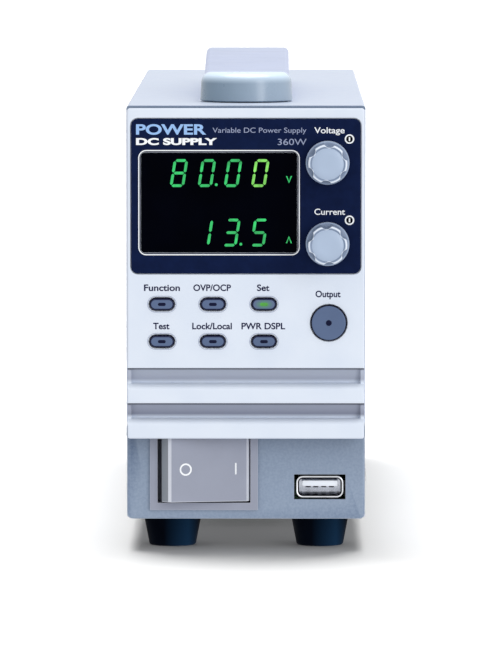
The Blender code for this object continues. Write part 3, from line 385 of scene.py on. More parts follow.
def lit_key_plastic():
    """Key plastic with light spreading through it from the lamp in its middle."""
    centre = middle("key_set")
    flatten = 1.9
    made = Surface("key_plastic_lit", KEY_COLOUR, 0.45)
    start = (-centre.x * MM, 0.0, -centre.z * MM * flatten)
    shift = made.mapped("Mapping", Location=start, Scale=(1.0, 0.0, flatten))
    length = made.node("VectorMath")
    length.operation = "LENGTH"
    made.link(shift.outputs["Vector"], length.inputs[0])
    near = made.ramp(length.outputs["Value"], 0.6 * MM, 2.8 * MM, 1.0, 0.0)
    made.drive("Base Color", made.blend(near, KEY_COLOUR, srgb(80, 132, 100)))
    made.set("Emission Color", (*srgb(60, 210, 50), 1.0))
    made.drive("Emission Strength", made.ramp(near, 0.0, 1.0, 0.0, 0.06))
    return made.grain(2600, 0.14).material


def circuit_board():
    """Green solder mask with paler traces."""
    made = Surface("solder_mask", srgb(22, 92, 52), 0.35)
    cells = made.mapped("TexVoronoi", Scale=260)
    cells.feature = "DISTANCE_TO_EDGE"
    traces = made.ramp(cells.outputs["Distance"], 0.02, 0.06, 1.0, 0.0)
    made.drive("Base Color", made.blend(traces, srgb(22, 92, 52), srgb(60, 140, 80)))
    return made.vary_roughness(0.05, 300).grain(900, 0.1).material


def copper_winding():
    """Enamelled wire, wound in fine turns."""
    made = Surface("enamelled_wire", srgb(176, 92, 44), 0.32, 0.6).mottle(0.12, 300)
    wave = made.mapped("TexWave", Scale=260)
    return made.bump(wave.outputs["Fac"], 0.5, 0.0002).material


def winding_tape():
    made = Surface("winding_tape", srgb(214, 172, 48), 0.35).mottle(0.08, 60, (1, 1, 40))
    return made.vary_roughness(0.06, 200).grain(120, 0.4, 0.0001, (1, 1, 20)).material


# ---------------------------------------------------------------- mesh helpers


def arc(cx, cz, radius, start, end, steps):
    """Points round a circle, between two angles in degrees."""
    angles = [math.radians(start + (end - start) * k / steps) for k in range(steps + 1)]
    return [(cx + radius * math.cos(a), cz + radius * math.sin(a)) for a in angles]


def circle(cx, cz, radius, steps):
    return arc(cx, cz, radius, 0, 360 - 360 / steps, steps - 1)


def rectangle(x0, x1, z0, z1):
    return [(x0, z0), (x1, z0), (x1, z1), (x0, z1)]


def rounded(x0, x1, z0, z1, radius, inset=0.0, steps=8):
    x0, x1, z0, z1 = x0 + inset, x1 - inset, z0 + inset, z1 - inset
    r = max(radius - inset, 0.02)
    corners = ((x0 + r, z0 + r, 180), (x1 - r, z0 + r, 270), (x1 - r, z1 - r, 0), (x0 + r, z1 - r, 90))
    return [point for cx, cz, start in corners for point in arc(cx, cz, r, start, start + 90, steps)]


def stadium(cx, cz, width, height, inset=0.0, steps=16):
    radius = height / 2 - inset
    reach = (width - height) / 2
    return arc(cx - reach, cz, radius, 90, 270, steps) + arc(cx + reach, cz, radius, 270, 450, steps)


def placed(point, along, axis="y"):
    """A flat point, put at a place along an axis."""
    a, b = point
    return {"x": (along, a, b), "y": (a, along, b), "z": (a, b, along)}[axis]


def at_depth(outline, y):
    """An outline in (x, z), put at a depth."""
    return [placed(p, y) for p in outline]


def add_ring(bm, points):
    return [bm.verts.new(Vector(p)) for p in points]


def add_band(bm, first, second, gap=None):
    """Faces between two rings of vertices, without the one at gap."""
    faces = []
    for k in range(len(first)):
        if k != gap:
            n = (k + 1) % len(first)
            faces.append(bm.faces.new((first[k], first[n], second[n], second[k])))
    return faces


def add_loft(bm, rings, start_cap=True, end_cap=True, material=0):
    loops = [add_ring(bm, ring) for ring in rings]
    faces = [face for first, second in zip(loops, loops[1:]) for face in add_band(bm, first, second)]
    if start_cap:
        faces.append(bm.faces.new(loops[0][::-1]))
    if end_cap:
        faces.append(bm.faces.new(loops[-1]))
    for face in faces:
        face.material_index = material
    return faces


def add_prism(bm, outline, start, end, axis="y", material=0):
    return add_loft(bm, [[placed(p, s, axis) for p in outline] for s in (start, end)], material=material)


def add_box(bm, x, y, z, material=0):
    return add_prism(bm, rectangle(*x, *z), *y, material=material)


def add_lathe(bm, profile, centre, segments, axis="y", material=0):
    """Turns (radius, along) points about an axis through centre."""
    rings = []
    for radius, along in profile:
        outline = circle(*centre, radius, segments) if radius > 0 else [centre]
        rings.append(add_ring(bm, [placed(p, along, axis) for p in outline]))
    for first, second in zip(rings, rings[1:]):
        for k in range(segments):
            n = (k + 1) % segments
            ends = first if len(first) == 1 else [first[k], first[n]]
            ends = ends + (second if len(second) == 1 else [second[n], second[k]])
            bm.faces.new(ends).material_index = material


def add_tube(bm, points, radius, sides, closed=False):
    """A round wire through points."""
    count = len(points)
    loops = []
    up = None
    for i, point in enumerate(points):
        if closed:
            ahead, behind = points[(i + 1) % count], points[i - 1]
        else:
            ahead, behind = points[min(i + 1, count - 1)], points[max(i - 1, 0)]
        along = (Vector(ahead) - Vector(behind)).normalized()
        if up is None:
            up = along.orthogonal().normalized()
        up = (up - along * up.dot(along)).normalized()
        across = along.cross(up)
        turns = [2 * math.pi * k / sides for k in range(sides)]
        spokes = [math.cos(t) * up + math.sin(t) * across for t in turns]
        loops.append(add_ring(bm, [Vector(point) + radius * spoke for spoke in spokes]))
    for first, second in zip(loops, loops[1:] + loops[:1] if closed else loops[1:]):
        add_band(bm, first, second)
    if not closed:
        bm.faces.new(loops[0][::-1])
        bm.faces.new(loops[-1])


def soften(obj, width, angle=32):
    """A small bevel on every sharp edge, shaded smooth."""
    modifier = obj.modifiers.new("edge", "BEVEL")
    modifier.width = width * MM
    modifier.segments = 2
    modifier.limit_method = "ANGLE"
    modifier.angle_limit = math.radians(angle)
    modifier.harden_normals = True
    modifier.use_clamp_overlap = True
    return modifier


def piece(name, fill, materials, body=CHASSIS, *, replaces=(), sharp=32, bevel=0.0):
    """A piece that rides on a body. fill draws it in mm, into a bmesh."""
    bm = bmesh.new()
    fill(bm)
    bmesh.ops.recalc_face_normals(bm, faces=bm.faces[:])
    for vert in bm.verts:
        vert.co *= MM
    mesh = bpy.data.meshes.new(name)
    bm.to_mesh(mesh)
    bm.free()
    mesh.shade_smooth()
    if not bevel:
        mesh.set_sharp_from_angle(angle=math.radians(sharp))
    for material in materials if isinstance(materials, list) else [materials]:
        mesh.materials.append(material)
    obj = new_object(name, mesh)
    if bevel:
        soften(obj, bevel)
    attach(obj, body)
    if replaces:
        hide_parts(*replaces)
    return obj


def rim_rings(outline_at, face, back, radius, steps=6):
    """Rings of an extrusion along Y with a rounded front edge."""
    rings = []
    for k in range(steps + 1):
        turn = math.radians(90 * k / steps)
        inset = radius * (1 - math.sin(turn))
        rings.append(at_depth(outline_at(inset), face + radius * (1 - math.cos(turn))))
    return rings + [at_depth(outline_at(0.0), back)]


# ---------------------------------------------------------------- lettering

CAP_RATIO = 0.729


def label(name, text, x, z, height, width, material, face, bold=0.0, back=False):
    """Lettering in mm on a face that looks along -Y, or +Y with back. x is its middle and z its foot."""
    curve = bpy.data.curves.new(name, "FONT")
    curve.body = text
    curve.size = height / CAP_RATIO * MM
    curve.offset = bold * MM
    curve.extrude = PRINT / 2 * MM
    curve.align_x = "CENTER"
    curve.materials.append(material)
    obj = new_object(name, curve)
    bpy.context.view_layer.update()
    if width:
        obj.scale.x = width * MM / obj.dimensions.x
    out = PRINT / 2 if back else -PRINT / 2
    obj.location = Vector((x, face + out, z)) * MM
    obj.rotation_euler = Euler((math.radians(90), 0, math.radians(180) if back else 0))
    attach(obj, CHASSIS)


def outline_ring(name, outer, inner, face, material):
    """A flat printed line between two outlines."""
    walls = ((outer, face), (outer, face - PRINT), (inner, face - PRINT), (inner, face))
    rings = [at_depth(*wall) for wall in walls]
    piece(name, lambda bm: add_loft(bm, rings, False, False), material)


def add_film(bm, outline, thick=PRINT):
    """A printed shape on the overlay."""
    add_prism(bm, outline, OVERLAY_FACE, OVERLAY_FACE - thick)


# ---------------------------------------------------------------- carried-over CAD nodes


def dress(material, *names, bevel=0.0, sharp=32, edge=None):
    """Gives CAD nodes a material, smooth shading and a small bevel, which can have its own material."""
    for name in names:
        node = nodes[name]
        node.data.materials.clear()
        node.data.materials.append(material)
        custom = node.data.attributes.get("custom_normal")
        if custom:
            node.data.attributes.remove(custom)
        node.data.shade_smooth()
        weld = node.modifiers.new("weld", "WELD")
        weld.merge_threshold = 1e-6
        if bevel:
            rim = soften(node, bevel, sharp)
            if edge:
                node.data.materials.append(edge)
                rim.material = 1
        split = node.modifiers.new("sharp", "EDGE_SPLIT")
        split.split_angle = math.radians(sharp)
        split.use_edge_sharp = False
        if bevel:
            node.modifiers.new("flat", "WEIGHTED_NORMAL").weight = 100


def dress_frame():
    # The front panel's and subpanel's bevels take paler materials, painted edge highlights.
    dress(front_white(), "front_panel", bevel=0.2, edge=FRONT_EDGE_HIGHLIGHT)
    dress(slate(), "front_subpanel", bevel=0.3, edge=SLATE_EDGE_HIGHLIGHT)
    dress(COVER, "top_cover", "rear_panel", bevel=0.12)
    dress(STEEL, "chassis_tray", bevel=0.1)
    dress(OVERLAY, "display_overlay", bevel=0.05)
    dress(LENS, "display_window", bevel=0.05)
    # The switch housing's bevels carry a painted highlight.
    dress(SWITCH, "power_switch_housing", bevel=0.4, edge=SWITCH_EDGE_HIGHLIGHT)
    dress(BLACK, "ac_inlet", "output_terminal_block", bevel=0.3)
    dress(BLACK, "voltage_display", "current_display", "fan_frame", "fan_rotor", bevel=0.2)
    dress(GREEN_BLOCK, "sense_terminal", bevel=0.2)
    dress(STEEL, "control_connector", "lan_port", "usb_b_port", bevel=0.12)
    dress(STEEL, "voltage_encoder", "current_encoder", bevel=0.1)
    dress(ALUMINIUM, "heatsink", "voltage_shaft", "current_shaft", bevel=0.1)
    dress(BRASS, "voltage_plunger", "current_plunger", bevel=0.1)
    dress(circuit_board(), "display_board", "main_board")
    dress(FERRITE, "transformer_core", bevel=0.4)
    dress(winding_tape(), "transformer_winding", bevel=0.5)
    dress(SLEEVE, "bulk_capacitor", bevel=0.4)
    dress(copper_winding(), "output_inductor", sharp=70)
    dress(FOAM, "air_filter")
    dress(SILICONE, "keypad_mat", bevel=0.2)
    dress(BLACK, "mains_harness", sharp=60)


# ---------------------------------------------------------------- front

SEGMENTS = {"0": "abcdef", "1": "bc", "3": "abcdg", "5": "acdfg", "8": "abcdefg"}
DIGIT_WIDTH = 4.3
DIGIT_HEIGHT = 8.3
SEGMENT = 0.82
SEGMENT_GAP = 0.16
SLANT = math.tan(math.radians(9.0))
VOLTAGE_FOOT = BASE + 99.78
CURRENT_FOOT = BASE + 82.06


def segment_bars():
    """Each segment as a bar with pointed ends, in (x, z) about the digit's foot."""
    half = SEGMENT / 2
    left, right = half, DIGIT_WIDTH - half
    low, centre, high = half, DIGIT_HEIGHT / 2, DIGIT_HEIGHT - half

    def bar(start, end):
        """Points along and across a bar."""
        a, b = start + SEGMENT_GAP, end - SEGMENT_GAP
        return [(a, 0.0), (a + half, half), (b - half, half), (b, 0.0), (b - half, -half), (a + half, -half)]

    def across(z):
        return [(along, z + off) for along, off in bar(left, right)]

    def upright(x, z0, z1):
        return [(x + off, along) for along, off in bar(z0, z1)]

    return {
        "a": across(high),
        "g": across(centre),
        "d": across(low),
        "b": upright(right, centre, high),
        "c": upright(right, low, centre),
        "f": upright(left, centre, high),
        "e": upright(left, low, centre),
    }


def digits(name, marks, lefts, foot, glow, point=None):
    """Lit characters, each at its left side, with a point after the one at that place."""
    bars = segment_bars()

    def fill(bm):
        for mark, x in zip(marks, lefts):
            for bar in SEGMENTS[mark]:
                add_film(bm, [(x + px + pz * SLANT, foot + pz) for px, pz in bars[bar]])
        if point is not None:
            add_film(bm, circle(lefts[point] + DIGIT_WIDTH + 1.3, foot + 0.7, 0.42, 16))

    piece(name, fill, glow)


def unit_mark(name, x, z, flip):
    """A V for volts, or an A for amps with flip at -1."""
    half, thick = 0.72, 0.4
    open_end, point = z + 0.95 * flip, z - 0.95 * flip
    points = [
        (x - half - thick / 2, open_end),
        (x, point - thick * 0.6 * flip),
        (x + half + thick / 2, open_end),
        (x + half - thick / 2, open_end),
        (x, point + thick * 0.9 * flip),
        (x - half + thick / 2, open_end),
    ]
    piece(name, lambda bm: add_film(bm, points), LED_GREEN)


def display():
    """The white line round the window, the lit digits and the unit marks."""
    x, _, z = spans("display_window")
    outer, inner = (rounded(*x, *z, 1.5, inset) for inset in (-0.85, -0.53))
    outline_ring("window_outline", outer, inner, OVERLAY_FACE, INK_WHITE)
    digits("voltage_digits", "800", (-22.7, -14.4, -6.6), VOLTAGE_FOOT, LED_GREEN, 1)
    digits("voltage_last_digit", "0", (1.5,), VOLTAGE_FOOT, LED_LIME)
    digits("current_digits", "135", (-15.2, -7.1, 1.2), CURRENT_FOOT, LED_GREEN, 1)
    unit_mark("volt_mark", 12.83, BASE + 102.1, 1)
    unit_mark("amp_mark", 12.81, BASE + 84.0, -1)


def push_mark(name, x, z):
    """The printed sign for pushing the knob: a white ring round a black disc with a white bar."""
    ring, hole, disc = (circle(x, z, radius, 32) for radius in (1.42, 1.0, 0.98))
    bar = [(a, b) for b, a in stadium(z, x, 1.25, 0.42)]
    outline_ring(f"{name}_ring", ring, hole, OVERLAY_FACE, INK_WHITE)
    piece(f"{name}_disc", lambda bm: add_film(bm, disc, PRINT / 2), LENS)
    piece(f"{name}_bar", lambda bm: add_film(bm, bar), INK_WHITE)


def overlay_print():
    """Each text's middle, foot, height and width, its ink and how bold it is."""
    for name, text, x, foot, height, width, colour, bold in (
        ("heading", "POWER", -22.5, 115.48, 3.05, 20.9, INK_SKY, 0.12),
        ("heading_second", "DC SUPPLY", -20.9, 112.4, 1.95, 24.1, INK_WHITE, 0.12),
        ("caption_line", "Variable DC Power Supply", 4.05, 115.95, 1.6, 27.9, INK_PALE, 0.0),
        ("caption_rating", "360W", 13.65, 112.3, 1.95, 8.6, INK_PALE, 0.0),
        ("voltage_name", "Voltage", 24.92, 115.8, 1.85, 9.0, INK_WHITE, 0.03),
        ("current_name", "Current", 24.88, 91.55, 1.85, 9.1, INK_WHITE, 0.03),
    ):
        label(name, text, x, BASE + foot, height, width, colour, OVERLAY_FACE, bold)
    push_mark("voltage_push_mark", 30.81, BASE + 114.06)
    push_mark("current_push_mark", 30.84, BASE + 89.9)


def key_labels():
    """Each text's middle, width and foot."""
    for name, text, x, width, foot in (
        ("function", "Function", -25.0, 10.7, 68.85),
        ("protection", "OVP/OCP", -10.08, 11.2, 68.85),
        ("set", "Set", 5.11, 3.7, 68.85),
        ("test", "Test", -25.2, 4.85, 57.42),
        ("lock", "Lock/Local", -10.08, 11.8, 57.42),
        ("power_display", "PWR DSPL", 5.11, 13.0, 57.42),
        ("output", "Output", 24.41, 7.45, 67.0),
    ):
        label(f"{name}_label", text, x, BASE + foot, 1.95, width, INK_BLUE, FRONT, 0.06)


KEY_SIZE = (7.1, 3.3)
KEY_FLANGE_SIZE = (8.9, 5.1)
KEY_COLLAR_SIZE = (8.75, 4.95)
KEY_LAMP_SIZE = (2.3, 0.95)
FLANGE_FACE = FRONT + 2.0
FLANGE_BACK = FRONT + 3.0
STEM_END = FRONT + 7.7


def key(name, cap, lamp):
    """A key cap on its flange and stem, a line of painted shade round it for its collar, and its lamp."""
    node = f"key_{name}"
    x, z, face = face_of(node)

    def fill(bm):
        rings = rim_rings(lambda inset: stadium(x, z, *KEY_SIZE, inset), face, FLANGE_FACE, 0.5)
        # The rim below the cap's front, the flange and the stem take the navy painted shade.
        add_loft(bm, rings[:2], True, False, 0)
        add_loft(bm, rings[1:], False, True, 1)
        bmesh.ops.remove_doubles(bm, verts=bm.verts, dist=1e-5)
        add_prism(bm, stadium(x, z, *KEY_FLANGE_SIZE), FLANGE_FACE, FLANGE_BACK, material=1)
        add_box(bm, (x - 0.8, x + 0.8), (FLANGE_BACK, STEM_END), (z - 0.8, z + 0.8), 1)

    piece(f"{name}_key", fill, [cap, RECESS_SHADE], node, replaces=[node])
    outer, inner = (stadium(x, z, *KEY_COLLAR_SIZE, inset) for inset in (0.0, 0.16))
    outline_ring(f"{name}_key_collar", outer, inner, FRONT, COLLAR_SHADE_LINE)
    lens = [
        at_depth(stadium(x, z, *KEY_LAMP_SIZE, inset), face + out)
        for inset, out in ((0.0, 0.05), (0.0, -0.02), (0.08, -0.05))
    ]
    piece(f"{name}_key_lamp", lambda bm: add_loft(bm, lens), lamp, node)


def keys():
    """Six keys; only the set key is lit."""
    lit = glowing("key_lamp_green", srgb(80, 170, 60), 0.6)
    glow_key = lit_key_plastic()
    for name in ("function", "protection", "set", "test", "lock", "power_display"):
        cap, lamp = (glow_key, lit) if name == "set" else (KEY, LED_OFF)
        key(name, cap, lamp)


def output_button():
    """A round key with a dished top, and its lamp."""
    node = "output_button"
    *spot, face = face_of(node)
    radius, corner, flange, stem = 5.15, 0.42, 6.05, 1.2

    def rounding(*turns):
        return [(radius - corner * (1 - math.sin(t)), face + corner * (1 - math.cos(t))) for t in turns]

    def fill(bm):
        dish = [(0.0, face + 0.10), (1.5, face + 0.09), (3.0, face + 0.05), (4.6, face)]
        add_lathe(bm, dish + rounding(0.0, 0.4, 0.8), spot, 64)
        rest = [(radius, FLANGE_FACE), (flange, FLANGE_FACE), (flange, FLANGE_BACK)]
        rest += [(stem, FLANGE_BACK), (stem, STEM_END), (0, STEM_END)]
        # The rounded rim, flange and stem take the navy painted shade.
        add_lathe(bm, rounding(0.8, 1.1, 1.35, 1.5708) + rest, spot, 64, material=1)
        bmesh.ops.remove_doubles(bm, verts=bm.verts, dist=1e-5)

    piece("output_key", fill, [KEY, RECESS_SHADE], node, replaces=[node])
    lens = [(0.85, face + 0.12), (0.85, face - 0.02), (0.6, face - 0.05), (0, face - 0.06)]
    piece("output_lamp", lambda bm: add_lathe(bm, lens, spot, 32), LED_OFF, node)


KNOB_LOBES = 6
KNOB_STEPS = 144


def knob(kind, turn):
    """Skirt, six-lobed grip and a dished face. turn is where its first notch rests, in degrees."""
    node = f"{kind}_knob"
    centre = middle(node)
    face, back = side(node, 0, 1), side(node, 1, 1)
    top, skirt, shade, edge = range(4)
    # Each row's last entry picks the tone of the band after it: skirt and shade paint shade, edge paints a
    # highlight.
    plan = (
        (face + 2.5, 3.3, 0.0, top),
        (back - 0.35, 3.3, 0.0, top),
        (back, 3.7, 0.0, top),
        (back, 6.2, 0.0, skirt),
        (back - 0.12, 6.42, 0.0, skirt),
        (back - 0.35, 6.5, 0.0, edge),
        (back - 1.25, 6.5, 0.0, skirt),
        (back - 1.6, 6.4, 0.0, skirt),
        (back - 1.8, 6.15, 0.0, shade),
        (back - 2.0, 6.05, 0.8, shade),
        (back - 2.6, 6.0, 0.95, shade),
        (face + 1.3, 6.0, 1.1, shade),
        (face + 0.7, 5.94, 1.08, shade),
        (face + 0.3, 5.78, 1.0, edge),
        (face + 0.08, 5.5, 0.85, edge),
        (face, 5.32, 0.5, top),
        (face + 0.02, 5.18, 0.3, shade),
        (face + 0.22, 4.92, 0.0, shade),
        (face + 0.24, 4.74, 0.0, top),
        (face + 0.10, 4.6, 0.0, top),
        (face + 0.14, 2.6, 0.0, top),
        (face + 0.18, 1.0, 0.0, top),
    )

    def ring(y, radius, deep):
        """A circle with notches cut into it that are this deep."""
        points = []
        for k in range(KNOB_STEPS):
            a = 2 * math.pi * k / KNOB_STEPS
            notch = max(0.0, math.cos((a - math.radians(turn)) * KNOB_LOBES)) ** 0.8
            reach = radius - deep * notch
            points.append((centre.x + reach * math.cos(a), y, centre.z + reach * math.sin(a)))
        return points

    def fill(bm):
        faces = add_loft(bm, [ring(*row[:3]) for row in plan])
        for k, made in enumerate(faces):
            made.material_index = plan[k // KNOB_STEPS][3]

    looks = [KNOB, KNOB_SKIRT_SHADE, KNOB_SHADE, KNOB_EDGE_HIGHLIGHT]
    piece(f"{kind}_knob_grip", fill, looks, node, replaces=[node], sharp=50)


ROCKER_RADIUS = 14.34
ROCKER_FACE = 8.0
ROCKER_DISH = 0.28
ROCKER_EDGE = 0.45
ROCKER_STATIONS = (0.9, 0.7, 0.5, 0.25, 0.0, -0.25, -0.5, -0.7, -0.9)
ROCKER_HALF = math.sqrt(ROCKER_RADIUS**2 - ROCKER_FACE**2)


def rocker_face(x):
    """How far the dished face of the rocker stands from its pivot."""
    return ROCKER_FACE - ROCKER_DISH * (1 - (x / ROCKER_HALF / 0.94) ** 2)


def rocker_corner(sign):
    """The soft corner between the face and one flank."""
    points = []
    for k in range(5):
        turn = math.radians(90 * k / 4)
        reach = ROCKER_HALF - ROCKER_EDGE + ROCKER_EDGE * math.sin(turn) * 0.9
        points.append((sign * reach, ROCKER_FACE - ROCKER_EDGE * (1 - math.cos(turn)) * 0.9))
    return points


def rocker():
    """The power rocker with its dished face, and its two signs."""
    node = "power_rocker"
    joint = next(j for j in frame["joints"] if j["name"] == "power_rock")
    px, py = joint["pos_m"][0] / MM, joint["pos_m"][1] / MM
    tilt = math.radians(-joint["range_deg"][0] / 2)
    corner = math.degrees(math.asin(ROCKER_FACE / ROCKER_RADIUS))
    dish = [(ROCKER_HALF * t, rocker_face(ROCKER_HALF * t)) for t in ROCKER_STATIONS]
    right = rocker_corner(1) + arc(0, 0, ROCKER_RADIUS, corner - 2.4, corner - 17, 8)
    left = arc(0, 0, ROCKER_RADIUS, 180 - corner + 17, 180 - corner + 2.4, 8) + rocker_corner(-1)[::-1]
    outline = right + [(4.0, -1.5), (-4.0, -1.5)] + left + dish[::-1]
    flank_start = len(right) + 2
    flank_end = len(outline) - len(dish) - 6

    def world(x, y):
        """A spot in the rocker's own plan, in the frame."""
        cos, sin = math.cos(tilt), math.sin(tilt)
        return (px + x * cos + y * sin, py + x * sin - y * cos)

    def paddle(bm):
        faces = add_prism(bm, [world(x, y) for x, y in outline], *spans(node)[2], "z")
        # The flank faces get painted shade, the corners beside the face a painted highlight.
        for k in range(flank_start, flank_end):
            faces[k].material_index = 1
        for k in [*range(flank_end, flank_end + 5), *range(5)]:
            faces[k].material_index = 2

    def sign(name, *rings):
        """A flat mark, just proud of the dished face."""
        spots = [[(*world(x, rocker_face(x) + 0.02), z) for x, z in ring] for ring in rings]
        piece(name, lambda bm: add_loft(bm, spots, False, False), INK_WHITE, node)

    looks = [SWITCH, SWITCH_FLANK_SHADE, SWITCH_EDGE_HIGHLIGHT]
    made = piece("power_rocker_paddle", paddle, looks, node, replaces=[node], bevel=0.22)
    # The bevels take the painted highlight as well.
    made.modifiers["edge"].material = 2
    z = BASE + 15.15
    sign("off_sign", *[circle(-7.06, z, radius, 40) for radius in (1.86, 1.36)])
    sign("on_sign", rounded(7.92, 8.38, z - 1.7, z + 1.8, 0.1), rounded(8.14, 8.16, z - 1.55, z + 1.65, 0.1))


USB_HALF = (7.15, 3.35)
USB_OUTLINE_POINTS = 36
TONGUE_LENGTH = 11.5


def usb_mouth():
    """The flared steel mouth in front of a band painted dark as shade and steel walls, and the shell round
    them.
    """
    x, z, mouth = face_of("front_usb_shell")
    rim_bands = 4
    steps = (
        (0.3, 0.25, 1.9),
        (0.12, 0.12, 1.9),
        (0.16, 0.0, 1.9),
        (0.3, -0.06, 1.8),
        (0.54, 0.02, 1.6),
        (0.75, 0.3, 1.4),
        (0.95, 1.0, 1.2),
        (0.95, 13.2, 1.2),
    )

    def ring(wide, high, radius, y):
        return at_depth(rounded(x - wide, x + wide, z - high, z + high, radius), mouth + y)

    def fill(bm):
        rings = [ring(USB_HALF[0] - inset, USB_HALF[1] - inset, radius, y) for inset, y, radius in steps]
        for k, face in enumerate(add_loft(bm, rings, False, True)):
            band = k // USB_OUTLINE_POINTS
            # These two bands are painted shade.
            if band in (rim_bands, rim_bands + 1):
                face.material_index = 1
            elif band > rim_bands:
                face.material_index = 2
        add_loft(bm, [ring(6.5, 2.8, 0.8, y) for y in (0.25, 13.9)], False, True)

    looks = [STEEL_LIGHT, USB_SHADE, USB_STEEL]
    piece("usb_mouth", fill, looks, replaces=["front_usb_shell"])


def usb_tongue():
    """The white tongue and its four contacts, drawn dark as painted shade."""
    x = middle("front_usb_shell").x
    across, (tip, _), (foot, head) = spans("front_usb_tongue")
    white = moulded("tongue_plastic", srgb(240, 245, 255), 0.35, 0.08)
    back = tip + TONGUE_LENGTH
    rings = rim_rings(lambda inset: rounded(*across, foot, head, 0.35, inset, 3), tip, back, 0.2, 3)
    node = "front_usb_tongue"
    piece("usb_tongue", lambda bm: add_loft(bm, rings), white, replaces=[node])

    def contacts(bm):
        for a in (-3.5, -1.2, 1.2, 3.5):
            add_box(bm, (x + a - 0.75, x + a + 0.75), (tip + 0.1, tip + 8.0), (foot - 0.35, foot + 0.1))

    piece("usb_contacts", contacts, USB_SHADE, bevel=0.05)


# ---------------------------------------------------------------- case


def feet():
    """Tapered rubber feet with a rounded rim and a recess for the screw."""
    coat = rubber()
    profile = [(0, BASE - 0.3), (8.4, BASE - 0.3), (8.6, BASE - 0.5), (8.55, BASE - 1.2), (7.2, 1.2)]
    profile += [(6.3 + 0.85 * math.cos(t), 0.85 - 0.85 * math.sin(t)) for t in (0.2, 0.6, 1.0, 1.3, 1.5708)]
    profile += [(4.0, 0.0), (3.7, 0.25), (3.55, 3.0), (0, 3.0)]
    for node in ("foot_front_left", "foot_front_right", "foot_rear_left", "foot_rear_right"):
        name = node.replace("foot", "foot_rubber")
        spot = (middle(node).x, middle(node).y)

        def fill(bm, spot=spot):
            add_lathe(bm, profile, spot, 64, "z")

        piece(name, fill, coat, replaces=[node])


def d_shape(centre_y, radius, towards, length):
    """Half a circle, with straight sides that run back from it."""
    ends = (180, 360) if towards < 0 else (0, 180)
    half = arc(0, centre_y, radius, *ends, 32)
    cut_y = centre_y - towards * length
    return half + [(half[-1][0], cut_y), (half[0][0], cut_y)]


CAP_ROUND = 3.0
CAP_SLOPE = 0.3


def handle_cap(node, towards):
    """A hood with a softly rounded top and a pocket that the strap comes out of."""
    (x0, x1), ends, (base, crown) = spans(node)
    radius = (x1 - x0) / 2
    tip, mouth = ends if towards < 0 else ends[::-1]
    centre = tip - towards * radius
    length = abs(mouth - centre)
    shoulder = crown - CAP_ROUND
    plan = [(0.35, base), (0.0, base + 0.3), (CAP_SLOPE, shoulder)]
    for k in range(1, 9):
        turn = math.radians(10.6 * k)
        plan.append((CAP_SLOPE + CAP_ROUND * (1 - math.cos(turn)), shoulder + CAP_ROUND * math.sin(turn)))
    plan.append((CAP_SLOPE + CAP_ROUND + 2.0, crown))
    pocket = rectangle(0.8 - radius, radius - 0.8, base + 1.6, base + 6.7)

    def fill(bm):
        loops = []
        for inset, z in plan:
            outline = d_shape(centre, radius - inset, towards, length)
            loops.append(add_ring(bm, [placed(p, z, "z") for p in outline]))
        for first, second in zip(loops, loops[1:]):
            add_band(bm, first, second, gap=len(first) - 2)
        bm.faces.new(loops[-1])
        bm.faces.new(loops[0][::-1])
        inner = add_ring(bm, [(x, mouth, z) for x, z in pocket])
        deep = add_ring(bm, [(x * 0.7, centre + towards * 8.0, z) for x, z in pocket])
        columns = ([loop[-1] for loop in loops], [loop[-2] for loop in loops])
        left, right = sorted(columns, key=lambda column: column[0].co.x)
        bm.faces.new([left[0], right[0], inner[1], inner[0]])
        bm.faces.new([*right, inner[2], inner[1]])
        bm.faces.new([right[-1], left[-1], inner[3], inner[2]])
        bm.faces.new([*left[::-1], inner[0], inner[3]])
        add_band(bm, inner, deep)
        bm.faces.new(deep)

    piece(node.replace("handle", "strap"), fill, cap_gloss(), replaces=[node], sharp=50)


STRAP_HALF_THICK = 2.0
STRAP_EDGE = 1.45
STRAP_START = 4.4
STRAP_STEPS = 30


def handle_strap():
    """A rounded tongue in each cap, and between them an arch that narrows to the back."""
    node = "handle_strap"
    (_, half_width), (y0, y1), (_, top) = spans(node)
    centre = (y0 + y1) / 2
    mouth = side("handle_front_cap", 1, 1)
    rise = top - TOP - STRAP_HALF_THICK - STRAP_START
    narrowing = (side("handle_front_cap", 1, 0) - side("handle_rear_cap", 1, 0)) / (centre - mouth)

    def section(y, half, height):
        points = []
        for sx, sz, start in ((1, 1, 0), (-1, 1, 90), (-1, -1, 180), (1, -1, 270)):
            spot = (sx * (half - STRAP_EDGE), height + sz * (STRAP_HALF_THICK - STRAP_EDGE))
            points += arc(*spot, STRAP_EDGE, start, start + 90, 6)
        return [(x, y, TOP + z) for x, z in points]

    stations = []
    for k in range(1, 9):
        turn = math.radians(90 * k / 8)
        half = max(half_width * math.sin(turn), 2.0)
        stations.append((y0 + half_width * (1 - math.cos(turn)), half, STRAP_START))
    for k in range(STRAP_STEPS + 1):
        s = k / STRAP_STEPS
        height = STRAP_START + rise * math.sin(s * math.pi / 2) ** 1.25
        stations.append((mouth + (centre - mouth) * s, half_width, height))
    mirrored = []
    for y, half, height in reversed(stations[:-1]):
        reach = min(centre - y, centre - mouth)
        mirrored.append((2 * centre - y, max(half - narrowing * reach, 1.6), height))
    rings = [section(*station) for station in stations + mirrored]
    plastic = strap_plastic()
    piece("strap_band", lambda bm: add_loft(bm, rings), plastic, replaces=[node], sharp=60)


